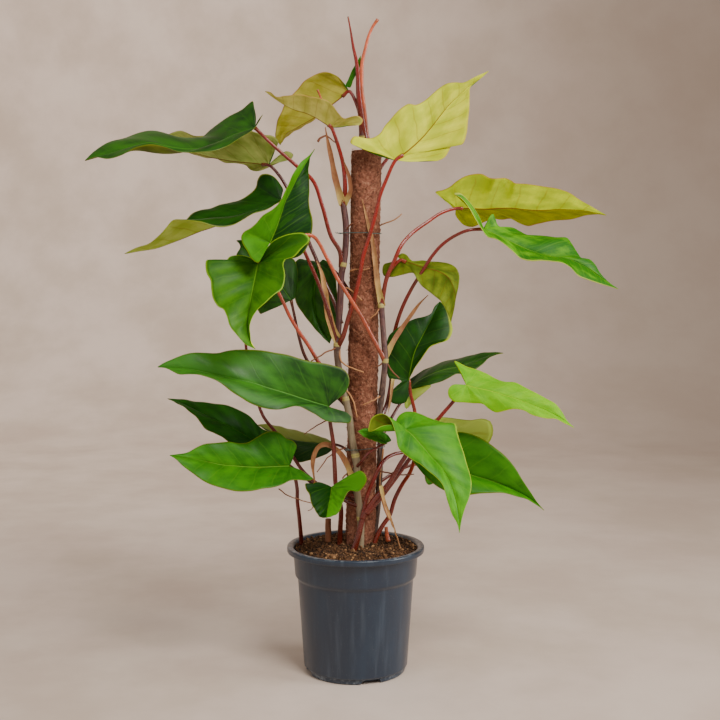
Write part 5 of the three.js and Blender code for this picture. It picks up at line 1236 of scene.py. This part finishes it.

# %% [markdown]
# ## Stems, stalks, sheaths and roots
#
# Three stems climb the pole. Each leaf hangs on a stalk that leaves a stem at a node, and each stalk
# is red where the light reaches it. Dry sheaths, the papery covers that once wrapped young leaves,
# stay on the stems, and thin aerial roots feel their way to the pole. All are tubes along smooth
# routes through a few points, read as the blades are. A curve object with a bevel would give
# the tube too, but not its nodes, its swollen joints or its flat, curled sheaths.

# %% Routes of every shoot
# kind, tone, radius in mm at the start and at the end, heights of nodes in mm, then the route
SHOOTS = {
    "stem_left": ("stem", 1.0, 5.0, 4.2, (217, 303, 379, 453, 561), [
        (360, 556, -27), (361, 519, -27), (357, 492, -26.5), (356, 462, -25.5), (352, 438, -23.5),
        (349, 415, -21), (345, 398, -17), (341, 380, -14), (337.5, 355, -14), (338, 335, -14),
        (340, 305, -14), (341.5, 275, -14), (345, 252, -14), (346, 225, -14), (343, 202, -14)]),
    "petiole_upper_left": ("petiole", 0.45, 2.6, 1.8, (), [
        (341.5, 267, -14), (340, 252, -18), (331, 236, -24), (322, 206, -33), (313, 181, -38),
        (298, 167, -42), (274, 146, -45)]),
    "petiole_upper_left_behind": ("petiole", 0.2, 2.6, 1.8, (), [
        (341, 324, -14), (335, 304, -9), (327, 287, -3), (316, 259, 4), (309, 242, 8), (299, 212, 14),
        (288, 189, 18), (279, 175, 22)]),
    "petiole_left_curled": ("petiole", 0.3, 2.6, 1.8, (), [
        (338, 346, -14), (331, 320, -20), (319, 285, -25), (304, 250, -27), (291, 222, -24)]),
    "petiole_lime_hanging": ("petiole", 0.75, 2.6, 1.8, (), [
        (345, 402, -17), (333, 383, -18), (318, 361, -22), (309, 346, -28), (298, 330, -38),
        (290, 317, -46), (278, 291, -58), (266, 274, -62)]),
    "petiole_dark_tucked": ("petiole", 0.1, 2.4, 1.6, (), [
        (345, 404, -17), (326, 386, -10), (306, 358, -6), (299.5, 338, -4), (295, 317, -4)]),
    "petiole_back_1": ("petiole", 0.3, 2.4, 1.6, (), [
        (357, 497, -26), (344, 494, -23), (331, 490, -9), (320, 486, 2), (304, 472, 9), (293, 457, 11),
        (275, 431, 10), (264, 417, 8), (257, 400, 8), (250, 370, 8), (246, 345, 8), (246, 308, 8)]),
    "petiole_low_left_behind": ("petiole", 0.15, 2.4, 1.6, (), [
        (357, 499, -26), (345, 497, -22), (332, 493, -5), (320, 489, 8), (304, 477, 17), (288, 464, 22),
        (275, 454, 24)]),
    "petiole_small_curled": ("petiole", 0.2, 2.2, 1.4, (), [
        (358, 506, -27), (347, 502, -34), (338, 494, -41)]),
    "petiole_upper_right": ("petiole", 0.6, 2.8, 1.9, (), [
        (338, 346, -14), (343, 337, -22), (349, 316, -29), (354, 300, -31), (360, 274, -33),
        (363, 257, -34), (369, 237, -35), (375, 216, -37), (380, 197, -38), (386, 181, -39)]),
    "petiole_top_front": ("petiole", 0.55, 2.8, 1.9, (), [
        (343, 206, -14), (345, 190, -17), (343, 163, -19), (338, 146, -23), (334, 134, -27)]),
    "petiole_small_low": ("petiole", 0.25, 1.8, 1.2, (), [
        (355.5, 468, -26), (361, 462, -35), (369, 453, -40)]),
    "sheath_left": ("sheath", 0.9, 6.0, 2.4, (), [
        (339, 343, -17), (333, 331, -20), (328, 312, -22), (325, 293, -22), (322, 274, -21),
        (317, 261, -20)]),
    "sheath_top_left": ("sheath", 0.3, 5.2, 2.0, (), [
        (343, 205, -17), (340, 195, -20), (335.5, 178, -23), (331.5, 158, -26), (327.5, 140, -29),
        (325, 127, -31)]),
    "sheath_top_right": ("sheath", 0.15, 3.8, 1.4, (), [
        (344, 205, -17), (350, 192, -20), (350.6, 185, -20), (349, 176, -20), (343, 158, -22)]),
    "dry_ribbon": ("sheath", 0.35, 4.2, 2.6, (), [
        (356, 484, -27), (351, 474, -31), (347, 464, -32), (341, 454, -32.5), (333, 447, -32),
        (326, 444, -31), (319, 446, -30), (315, 453, -30), (313, 464, -31), (315, 483, -32)]),
    "root_upper": ("root", 0.1, 1.1, 0.8, (), [
        (345, 232, -14), (348, 228, -20), (352, 224, -23), (359, 222, -24)]),
    "root_middle": ("root", 0.8, 1.1, 0.8, (), [
        (341, 288, -14), (349, 289, -23), (357, 296, -25), (362, 300, -25)]),
    "root_pale": ("root", 0.9, 1.3, 0.9, (), [
        (339, 347, -14), (341, 360, -20), (346, 366, -25), (354, 369, -27), (364, 372, -25)]),
    "root_hanging": ("root", 0.3, 1.2, 0.9, (), [
        (337, 347, -14), (333, 349, -20), (325, 353, -24), (311, 361, -25)]),
    "root_inner": ("root", 1.0, 1.2, 0.8, (), [
        (347, 391, -17), (352, 398, -23), (355, 407, -25.5), (357, 417, -26)]),
    "root_down": ("root", 0.2, 1.3, 0.9, (), [
        (355, 464, -26), (349, 471, -29), (342, 479, -31)]),
    "stem_right": ("stem", 0.2, 4.6, 3.8, (354, 432, 505), [
        (373, 556, 17), (375, 530, 17), (378, 500, 10), (380.5, 450, 5), (379.5, 413, -9), (381, 399, -14),
        (383, 384, -22), (385.5, 359, -26), (384, 338, -24), (382.5, 318, -19), (381, 302, -15)]),
    "petiole_right_high": ("petiole", 0.62, 2.6, 1.8, (), [
        (381.5, 306, -15), (384, 292, -20), (387, 277, -26), (394, 262, -29), (401, 246, -25),
        (411, 234, -15), (427, 222, -4), (442, 213, 2)]),
    "petiole_right_arching": ("petiole", 0.55, 2.4, 1.8, (), [
        (381, 306, -15), (384, 290, -15), (390, 272, -17), (396, 264, -18)]),
    "petiole_centre_upright": ("petiole", 0.85, 2.6, 1.8, (), [
        (385.5, 361, -26), (373, 338, -34), (360, 314, -40), (349, 296, -46), (337, 278, -53),
        (327, 258, -63), (312.6, 236, -70), (292, 238, -76)]),
    "petiole_right_wavy": ("petiole", 0.35, 2.6, 1.8, (), [
        (381.5, 418, -7), (387, 404, 2), (391, 380, 10), (391, 356, 11), (394, 334, 9), (401, 311, 1),
        (411, 290, -12), (422, 272, -25), (432, 256, -32), (442, 245, -35), (455, 236, -38),
        (468, 230, -40)]),
    "petiole_right_narrow": ("petiole", 0.3, 2.2, 1.6, (), [
        (380.5, 440, 3), (390, 420, 20), (400, 404, 37)]),
    "sheath_pole": ("sheath", 0.65, 4.6, 1.4, (), [
        (382, 306, -17), (378.5, 289, -23.5), (376, 266, -23.5), (372.5, 243, -23.5), (368.5, 225, -23),
        (362, 199, -23)]),
    "sheath_right": ("sheath", 0.35, 4.2, 1.6, (), [
        (385, 357, -27), (393, 343, -23), (401, 330, -17), (411, 315, -17), (419, 304, -17),
        (428, 295, -17)]),
    "root_ring": ("root", 0.6, 1.1, 0.8, (), [
        (381, 305, -15), (376, 313, -23), (370, 319, -25)]),
    "root_cross": ("root", 0.15, 1.1, 0.8, (), [
        (384, 361, -26), (379, 366, -27), (369, 366, -25.5)]),
    "root_out": ("root", 0.25, 1.1, 0.8, (), [
        (387, 363, -27), (392, 371, -27), (399, 378, -26)]),
    "root_low": ("root", 0.7, 1.3, 0.9, (), [
        (382, 394, -15), (376, 399, -23), (370, 402, -25.5), (363, 405, -26)]),
    "stem_back": ("stem", 0.2, 4.6, 4.0, (262, 520, 733), [
        (360, 556, 27), (361, 480, 26), (362.5, 400, 26), (364, 320, 26), (365.5, 240, 26),
        (366.5, 180, 26), (366, 156, 24), (363, 138, 10), (362, 124, 7)]),
    "spike_left": ("petiole", 0.42, 4.6, 0.7, (), [
        (364, 140, 12), (363, 132, 9), (361, 112, 5), (358.5, 92, 2), (357.5, 75, 0), (356, 61, -1),
        (353, 47, -2), (350.6, 29, -3), (348.3, 16.5, -3)]),
    "spike_right": ("petiole", 0.95, 3.4, 1.5, (), [
        (366, 139, 14), (365.2, 125, 11), (363.5, 108, 8), (361.5, 90, 4), (361.3, 75, 2), (362.3, 62, 1),
        (365, 49, 2), (368.5, 37, 3), (373, 27, 4), (378, 19, 4)]),
    "petiole_top_behind": ("petiole", 0.45, 2.4, 1.8, (), [
        (362, 126, 7), (357, 105, 9)]),
    "petiole_low_strip": ("petiole", 0.15, 2.2, 1.5, (), [
        (361.5, 470, 26), (352, 458, 42), (343, 447, 52)]),
    "petiole_dark_by_pole": ("petiole", 0.2, 2.4, 1.8, (), [
        (364.5, 310, 26), (350, 292, 40), (335, 272, 48)]),
    "petiole_back_2": ("petiole", 0.3, 2.4, 1.8, (), [
        (361, 500, 26), (380, 482, 45), (408, 466, 62), (429.4, 462, 66)]),
    "petiole_back_3": ("petiole", 0.3, 2.4, 1.8, (), [
        (362.5, 420, 26), (345, 398, 46), (320, 388, 60), (300, 388, 62)]),
    "petiole_back_4": ("petiole", 0.4, 2.4, 1.8, (), [
        (366.5, 200, 26), (378, 172, 44), (395, 150, 54), (407, 143, 56)]),
    "root_side": ("root", 0.8, 1.2, 0.7, (), [
        (367, 226, 26), (379, 226, 20), (386, 223, 12), (396, 219, 7), (402, 214, 6)]),
    "petiole_left_broad": ("petiole", 0.25, 3.2, 2.2, (), [
        (340, 556, -8), (340, 543, -8), (340, 527, -13), (341, 510, -20), (338, 495, -26),
        (335.5, 484, -30), (335, 471, -33), (334, 455, -36), (333, 443, -38), (330, 422, -40)]),
    "petiole_low_left_front": ("petiole", 0.25, 2.8, 2.0, (), [
        (301, 556, 8), (301, 541, 8), (299, 517, -4), (297, 501, -13), (297, 487, -20), (293, 472, -24)]),
    "petiole_low_right_front": ("petiole", 0.3, 3.6, 2.4, (), [
        (352, 556, -36), (358, 538, -37), (364, 516, -38), (375, 499, -40), (386, 487, -43),
        (394, 475, -47), (400, 465, -51), (406, 455, -54), (409, 442, -57)]),
    "petiole_right_lime": ("petiole", 0.35, 2.8, 2.0, (), [
        (366, 514, -38), (376, 503, -38), (390, 486, -38), (403, 468, -38), (414, 452, -37),
        (425, 436, -35), (437, 420, -33), (453, 402, -30)]),
    "petiole_low_right_behind": ("petiole", 0.4, 2.6, 2.0, (), [
        (362, 519, -38), (367, 498, -34), (373, 481, -31), (379, 468, -27), (386, 459, -18),
        (394, 454, -9), (403, 452, 0), (412, 448, 6)]),
    "root_long": ("root", 0.85, 1.3, 0.9, (), [
        (381, 490, -42), (382, 501, -33), (386, 512, -28), (392, 524, -24), (397, 537, -20),
        (401, 552, -18)]),
    "petiole_right_rolled": ("petiole", 0.65, 2.8, 2.0, (), [
        (372, 556, -10), (375, 541, -8), (382, 527, -6), (390, 515, -4), (395, 499, -2), (402, 485, 3),
        (410, 472, 12), (415, 455, 20), (417, 435, 20), (415, 412, 12), (411, 395, 6)]),
    "cut_stub": ("root", 0.25, 4.4, 4.0, (), [
        (328, 542, 2), (328, 530, 1), (328, 519, 0)]),
    "pink_stub": ("petiole", 0.95, 2.4, 1.6, (), [
        (388, 541, -6), (387, 534, -6), (386, 527, -6)]),
    "root_strand": ("root", 1.0, 1.3, 0.8, (), [
        (383, 449, -8), (382, 462, -10), (380.5, 474, -12), (380, 486, -13)]),
    "sheath_strip_upper": ("sheath", 0.75, 2.4, 0.8, (), [
        (393, 379, -14), (392, 390, -16), (390, 402, -16), (388, 414, -14)]),
    "sheath_strip_lower": ("sheath", 0.8, 2.6, 0.9, (), [
        (381, 486, -50), (383, 497, -52), (388, 512, -50), (393, 524, -46), (397, 536, -40)]),
    "root_hook": ("root", 0.4, 0.9, 0.5, (), [
        (279, 489, -20), (289, 496, -24), (300, 500, -26), (313, 504, -27), (312, 509, -27),
        (308, 511, -27)]),
    "root_twig": ("root", 0.1, 1.1, 0.7, (), [
        (379, 471, -30), (390, 473, -34), (402, 475, -36), (414, 474, -36)]),
    "root_left": ("root", 0.1, 1.1, 0.6, (), [
        (345, 416, -22), (336, 417, -28), (325, 421, -34), (314, 427, -38), (304, 434, -40)]),
    "root_dark": ("root", 0.0, 1.1, 0.6, (), [
        (345, 448, -26), (336, 451, -32), (327, 458, -36), (317, 472, -38)]),
    "root_on_pole": ("root", 0.6, 1.1, 0.7, (), [
        (350, 271, -22), (356, 269, -24), (363, 270, -24.5), (370, 268, -22)]),
    "dried_curl": ("root", 0.1, 0.6, 1.7, (), [
        (336, 143, -24), (330, 138, -26), (325, 136, -28), (320.5, 138, -29), (318, 142, -29)]),
    "dried_tip": ("petiole", 0.95, 0.9, 0.9, (), [
        (323, 103, -34), (320, 95, -36), (317.5, 89.5, -37)]),
}

print("shoots:", len(SHOOTS))

# %% [markdown]
# A stalk has to meet its blade, so its end isn't read a second time but taken from the blade's
# midrib. Snapping by hand would work until the blade is moved.

# %% Where a stalk ends
SHOWS_UNDERSIDE = ["leaf_upper_right", "leaf_right_high", "leaf_right_arching", "leaf_top_behind",
                   "leaf_top_front", "leaf_upper_left_behind"]


def full_route(name):
    """A shoot's points in mm. A stalk ends 3 mm behind its blade's base. Where the blade shows its
    underside, it goes through the base and on half way to the midrib's next point."""
    points = list(SHOOTS[name][-1])
    leaf = name.replace("petiole", "leaf")
    if leaf in LEAVES:
        base, beyond = np.array(LEAVES[leaf][2][:2], float)
        points += [base, (base + beyond) / 2] if leaf in SHOWS_UNDERSIDE else [base + (0, 0, 3)]
    return seen(points)


ROUTES = {name: full_route(name) for name in SHOOTS}
print("points in all routes:", sum(map(len, ROUTES.values())))

# %% [markdown]
# A route's few points become a smooth line by cubic curves. A curve object in Blender uses Bezier
# handles, which have to be set by hand. Catmull-Rom curves take their slopes from the points alone.

# %% Smooth routes
def route_through(points, count):
    """count points at even distances along a centripetal Catmull-Rom curve through the given points.

    Each stretch is a cubic whose end slopes come from its neighbours, weighted by the square roots of
    the distances between the points, so that close points don't make the curve loop."""
    p = np.array(points, float)
    p = np.concatenate([[2 * p[0] - p[1]], p, [2 * p[-1] - p[-2]]])
    step = np.sqrt(np.linalg.norm(np.diff(p, axis=0), axis=1))[:, None]
    before, here, after = step[:-2], step[1:-1], step[2:]
    earlier, a, b, later = p[:-3], p[1:-2], p[2:-1], p[3:]
    leave = ((a - earlier) / before - (b - earlier) / (before + here) + (b - a) / here) * here
    arrive = ((b - a) / here - (later - a) / (here + after) + (later - b) / after) * here
    a, b, leave, arrive = (value[:, None] for value in (a, b, leave, arrive))
    t = np.linspace(0, 1, 40, endpoint=False)[None, :, None]
    square = -3 * a + 3 * b - 2 * leave - arrive
    cube = 2 * a - 2 * b + leave + arrive
    fine = a + leave * t + square * t ** 2 + cube * t ** 3
    fine = np.concatenate([fine.reshape(-1, 3), p[-2:-1]])
    along = lengths(fine)
    at = np.linspace(0, along[-1], count)
    return np.stack([np.interp(at, along, fine[:, k]) for k in range(3)], axis=1), along[-1]


def frames(line):
    """Two directions square to a route at each point: one sideways, one towards the viewer."""
    along = unit(np.gradient(line, axis=0))
    aside = unit(np.cross(along, FRONT))
    return aside, unit(np.cross(aside, along))


print("length of the left stem in mm:", round(route_through(ROUTES["stem_left"], 2)[1]))

# %% [markdown]
# One function shapes all four kinds of shoot, because they differ only in how the section changes
# along the way. A stem swells at its nodes, where old sheaths left a ring. A stalk starts broad,
# where it clasps the stem, and thickens again under the blade, at the joint that turns the leaf to
# the light. A sheath is a thin trough with a pinched end, and a root wanders a little.

# %% One shoot
SIDES = {"stem": 16, "petiole": 12, "sheath": 22, "root": 6}
SPACING = {"stem": 1.6, "petiole": 3.0, "sheath": 2.0, "root": 2.0}  # mm from ring to ring


def shoot_points(kind, start, end, nodes, route):
    """A shoot as [point along, point round], its joint marks, and shares of its length. The section is
    an oval: half widths across and towards the viewer, worked out along the way."""
    sides = SIDES[kind]
    steps = int(max(12, route_through(route, 2)[1] / SPACING[kind]))
    line, length = route_through(route, steps)
    aside, ahead = frames(line)
    share = np.linspace(0, 1, steps)
    along = share * length
    radius = start + (end - start) * share
    turn = full_turn(sides)
    mark = np.zeros(steps)
    if kind == "stem":
        for height in nodes:
            off = line[:, 2] - height
            radius = radius * (1 + 0.16 * np.exp(-(off / 5) ** 2) + 0.07 * np.exp(-((off - 3) / 1.0) ** 2))
            mark = np.maximum(mark, np.exp(-((off - 1) / 3.2) ** 2))
        radius = radius * (1 + 0.02 * np.sin(along / 9) + 0.015 * waves(line, 6, 41))
    elif kind == "petiole":
        radius = 1.14 * radius * (1 + 0.4 * np.exp(-along / 9) + 0.3 * np.exp(-((length - along) / 7) ** 2))
        mark = np.exp(-((length - along) / 9) ** 2)
    elif kind == "root":
        line = line + (waves(line, 9, 42) * 0.5 * np.sin(np.pi * share))[:, None] * aside
    wide = radius[:, None] * np.cos(turn)
    deep = radius[:, None] * np.sin(turn)
    if kind == "sheath":
        edge = (1 - smoothstep(share, 0.75, 1.0) * 0.7)[:, None]
        wide = wide * edge * (1 + 0.06 * np.sin(along / 5))[:, None]
        curl = 1 + 0.3 * np.sin(along / 11 + 1)
        deep = 0.10 * deep + 0.34 * radius[:, None] * (np.cos(turn) ** 2 - 0.5) * curl[:, None]
        mark = share
    elif kind == "stem":
        deep = deep * 0.97
    elif kind == "petiole":
        deep = deep * (1 - 0.16 * np.maximum(0, np.sin(turn)) ** 4)
    return line[:, None] + wide[..., None] * aside[:, None] + deep[..., None] * ahead[:, None], mark, share


def bundle(kind):
    """All shoots of one kind in one mesh, each a closed tube with flat ends."""
    points, faces, start = [], [], 0
    numbers = {"tone": [], "mark": [], "share": [], "own": []}
    for k, (name, (its_kind, tone, first, last, nodes, _)) in enumerate(SHOOTS.items()):
        if its_kind != kind:
            continue
        grid, mark, share = shoot_points(kind, first, last, nodes, ROUTES[name])
        steps, sides = grid.shape[:2]
        faces += [start + group for group in tube_faces(steps, sides)]
        points.append(grid.reshape(-1, 3))
        for key, value in (("tone", np.full(steps, tone)), ("mark", mark), ("share", share),
                           ("own", np.full(steps, k * 0.37))):
            numbers[key].append(np.repeat(value, sides))
        start += steps * sides
    return np.concatenate(points), faces, {key: np.concatenate(value) for key, value in numbers.items()}


# %% [markdown]
# The stems are grey-brown to purplish, a little scurfy, with a pale ring at each node. Noise that is
# stretched along Z gives the lengthwise grain of bark, and the mark on the points puts the rings
# where the shape swells, which a texture alone could not know.

# %% Stem finish
stem = Finish("stem_bark", Specular_IOR_Level=0.4)
spot, height = stem.place(), stem.along(2)
tone, mark = stem.number("tone"), stem.number("mark")
run = stem.noise(stem.place((1, 1, 0.12)), 420, 4, 0.6)
grain = stem.ramp(run, 0.35, 0.65)
old = stem.mix(grain, rgb(72, 56, 54), rgb(122, 104, 92))
young = stem.mix(grain, rgb(66, 38, 40), rgb(104, 66, 60))
bark = stem.mix(stem.ramp(height, 0.30, 0.52), old, young)
bark = stem.mix(stem.ramp(height, 0.47, 0.38) * stem.ramp(tone, 0.5, 0.9) * 0.55, bark, rgb(150, 134, 98))
scurf = stem.ramp(stem.noise(spot, 260, 4, 0.7), 0.58, 0.7)
bark = stem.mix(scurf * 0.5, bark, rgb(150, 134, 112))
bark = stem.mix(stem.ramp(mark, 0.25, 0.85) * 0.85, bark, rgb(190, 176, 96))
bark = stem.mix(stem.ramp(mark, 0.9, 1.0) * 0.5, bark, rgb(96, 70, 46))
stem.set("Base Color", bark)
stem.set("Roughness", 0.5 + scurf * 0.25)
stem.bump(run + scurf * 0.3, 0.35)
stem.report()

# %% [markdown]
# The stalks go from dark brown-red to a bright red or pink, streaked lengthwise and glossy, and they
# are browner near the stem. One number on the points, the tone, carries how red each one is, so one
# material serves every stalk.

# %% Stalk finish
stalk = Finish("red_stalk", Specular_IOR_Level=0.5, Coat_Roughness=0.2, Subsurface_Weight=0.05,
               Subsurface_Scale=0.003)
spot = stalk.place()
tone, mark, share, own = (stalk.number(key) for key in ("tone", "mark", "share", "own"))
run = stalk.noise(stalk.together(share * 5 + own * 7, own * 3), 2.2, 4, 0.6)
fleck = stalk.ramp(stalk.noise(spot, 800, 3, 0.6), 0.55, 0.72)
red = stalk.mix(stalk.ramp(tone, 0.0, 0.6), rgb(52, 17, 9), rgb(142, 20, 10))
red = stalk.mix(stalk.ramp(tone, 0.55, 1.0), red, rgb(210, 100, 62))
red = stalk.mix(stalk.ramp(run, 0.4, 0.7) * 0.5, red, rgb(86, 40, 24))
red = stalk.mix(stalk.ramp(share, 0.55, 0.0) * 0.5, red, rgb(70, 34, 18))
red = stalk.mix(fleck * 0.3, red, rgb(206, 110, 78))
red = stalk.mix(stalk.ramp(mark, 0.3, 1.0) * 0.4, red, rgb(126, 70, 20))
stalk.set("Base Color", red)
stalk.set("Roughness", 0.26 + fleck * 0.2)
stalk.set("Coat Weight", 0.3 - fleck * 0.2)
stalk.bump(stalk.noise(spot, 500, 3) + fleck * 0.4, 0.15)
stalk.report()

# %% [markdown]
# The sheaths are dry: tan to orange-brown, with darker lengthwise fibres and a greener foot. The roots
# are thin and orange to brown. Both are dull, so they need no coat.

# %% Sheath and root finishes
dry = Finish("dry_sheath", Specular_IOR_Level=0.4, Roughness=0.6, Subsurface_Weight=0.05,
             Subsurface_Scale=0.002)
tone, share = dry.number("tone"), dry.number("share")
run = dry.noise(dry.place((1, 1, 0.1)), 900, 4, 0.65)
blotch = dry.ramp(dry.noise(dry.place(), 70, 4, 0.6), 0.4, 0.65)
tan = dry.mix(dry.ramp(tone, 0.0, 1.0), rgb(128, 74, 40), rgb(206, 160, 100))
tan = dry.mix(blotch * 0.55, tan, rgb(116, 62, 34))
tan = dry.mix(dry.ramp(run, 0.52, 0.7) * 0.6, tan, rgb(92, 50, 30))
dry.set("Base Color", dry.mix(dry.ramp(share, 0.3, 0.05) * 0.7, tan, rgb(196, 178, 96)))
dry.bump(run, 0.5)
dry.report()

root = Finish("aerial_root", Specular_IOR_Level=0.4, Roughness=0.6)
brown = root.mix(root.ramp(root.number("tone"), 0.0, 1.0), rgb(96, 52, 34), rgb(206, 150, 96))
root.set("Base Color", root.mix(root.noise(root.place(), 500, 3) * 0.7, brown, rgb(140, 80, 50)))
root.bump(root.noise(root.place(), 900, 3), 0.2)
root.report()

# %% [markdown]
# Every solid of a vine holds a stem with its stalks, sheaths and roots. So the four new pieces, one
# for each kind, stand for all seven vines together.

# %% Grow the shoots
VINES = ["vine_left", "vine_right", "vine_back", "shoot_left_broad", "shoot_low_left", "shoots_low_right",
         "shoot_right_rolled"]
for kind, name, finish in (("stem", "stems", stem), ("petiole", "leaf_stalks", stalk),
                           ("sheath", "dry_sheaths", dry), ("root", "aerial_roots", root)):
    points, faces, numbers = bundle(kind)
    make_piece(name, points, faces, finish, "stem", VINES, **numbers)

# %% [markdown]
# ## Wire ties
#
# Two thin coated wires hold the stems to the pole. Each is a level loop drawn tight: seen from above
# it is the outline of a string round the pole and the stems, so in each direction it follows what
# reaches furthest out. Cloth or rope physics could tighten it, but the furthest reach is one line of
# numpy. The ends are twisted together and stick out at the side.

# %% Ties
TIES = (("tie_lower", 312, 205, 7), ("tie_upper", 604, 200, 9))  # height, turn of the twist, its length
WIRE_RADIUS, POLE_REACH, SHEATH_REACH = 0.55, 21.2, 1.2
TIED = ("stem_left", "stem_right", "stem_back", "sheath_pole")
UP = np.array([0, 0, 1])


def tie_line(height, twist_turn, twist_length):
    """The middle of a tie's wire: in each direction the furthest reach of the pole and the stems at
    that height, then a twist that runs straight out, level."""
    turn = full_turn(160) + twist_turn
    held = [(*pole_axis(height)[:2], POLE_REACH)]
    for name in TIED:
        line = route_through(ROUTES[name], 200)[0]
        if line[:, 2].min() < height < line[:, 2].max():
            spot = line[np.abs(line[:, 2] - height).argmin()]
            held.append((spot[0], spot[1], SHEATH_REACH if name == "sheath_pole" else SHOOTS[name][2] + 0.6))
    held = np.array(held)
    reach = held[:, :1] * np.cos(turn) + held[:, 1:2] * np.sin(turn) + held[:, 2:]
    best = held[reach.argmax(axis=0)]
    loop = best[:, :2] + (best[:, 2:] + 0.9) * np.stack([np.cos(turn), np.sin(turn)], axis=1)
    loop = np.concatenate([loop, loop[:1]])
    loop = np.column_stack([loop, height + 0.5 * np.sin(3 * np.append(turn, turn[0]))])
    out = np.array([np.cos(twist_turn), np.sin(twist_turn), 0.15])
    way = np.linspace(0, 1, 60)[:, None]
    coil = 0.85 * np.cos(way * 22) * np.cross(out, UP) + 0.85 * np.sin(way * 22) * UP
    tail = loop[-1] + out * way * twist_length + coil * np.minimum(1, way * 8)
    other = loop[0] + out * way[::-1] * twist_length * 0.8 - coil[::-1] * np.minimum(1, way[::-1] * 8)
    return np.concatenate([other[:-1], loop, tail[1:]])


wire = Finish("coated_wire", Specular_IOR_Level=0.5, Coat_Weight=0.2)
wear = wire.ramp(wire.noise(wire.place(), 300, 4), 0.5, 0.7)
wire.set("Base Color", wire.mix(wear, rgb(52, 84, 84), rgb(120, 132, 124)))
wire.set("Roughness", 0.35 + wear * 0.3)
wire.bump(wire.noise(wire.place(), 900, 2), 0.1)
wire.report()
for name, height, twist, length in TIES:
    points, faces = thin_tubes(tie_line(height, np.radians(twist), length)[None], [WIRE_RADIUS], 8)
    make_piece("wire" + name[3:], points, faces, wire, "tie_wire", [name])
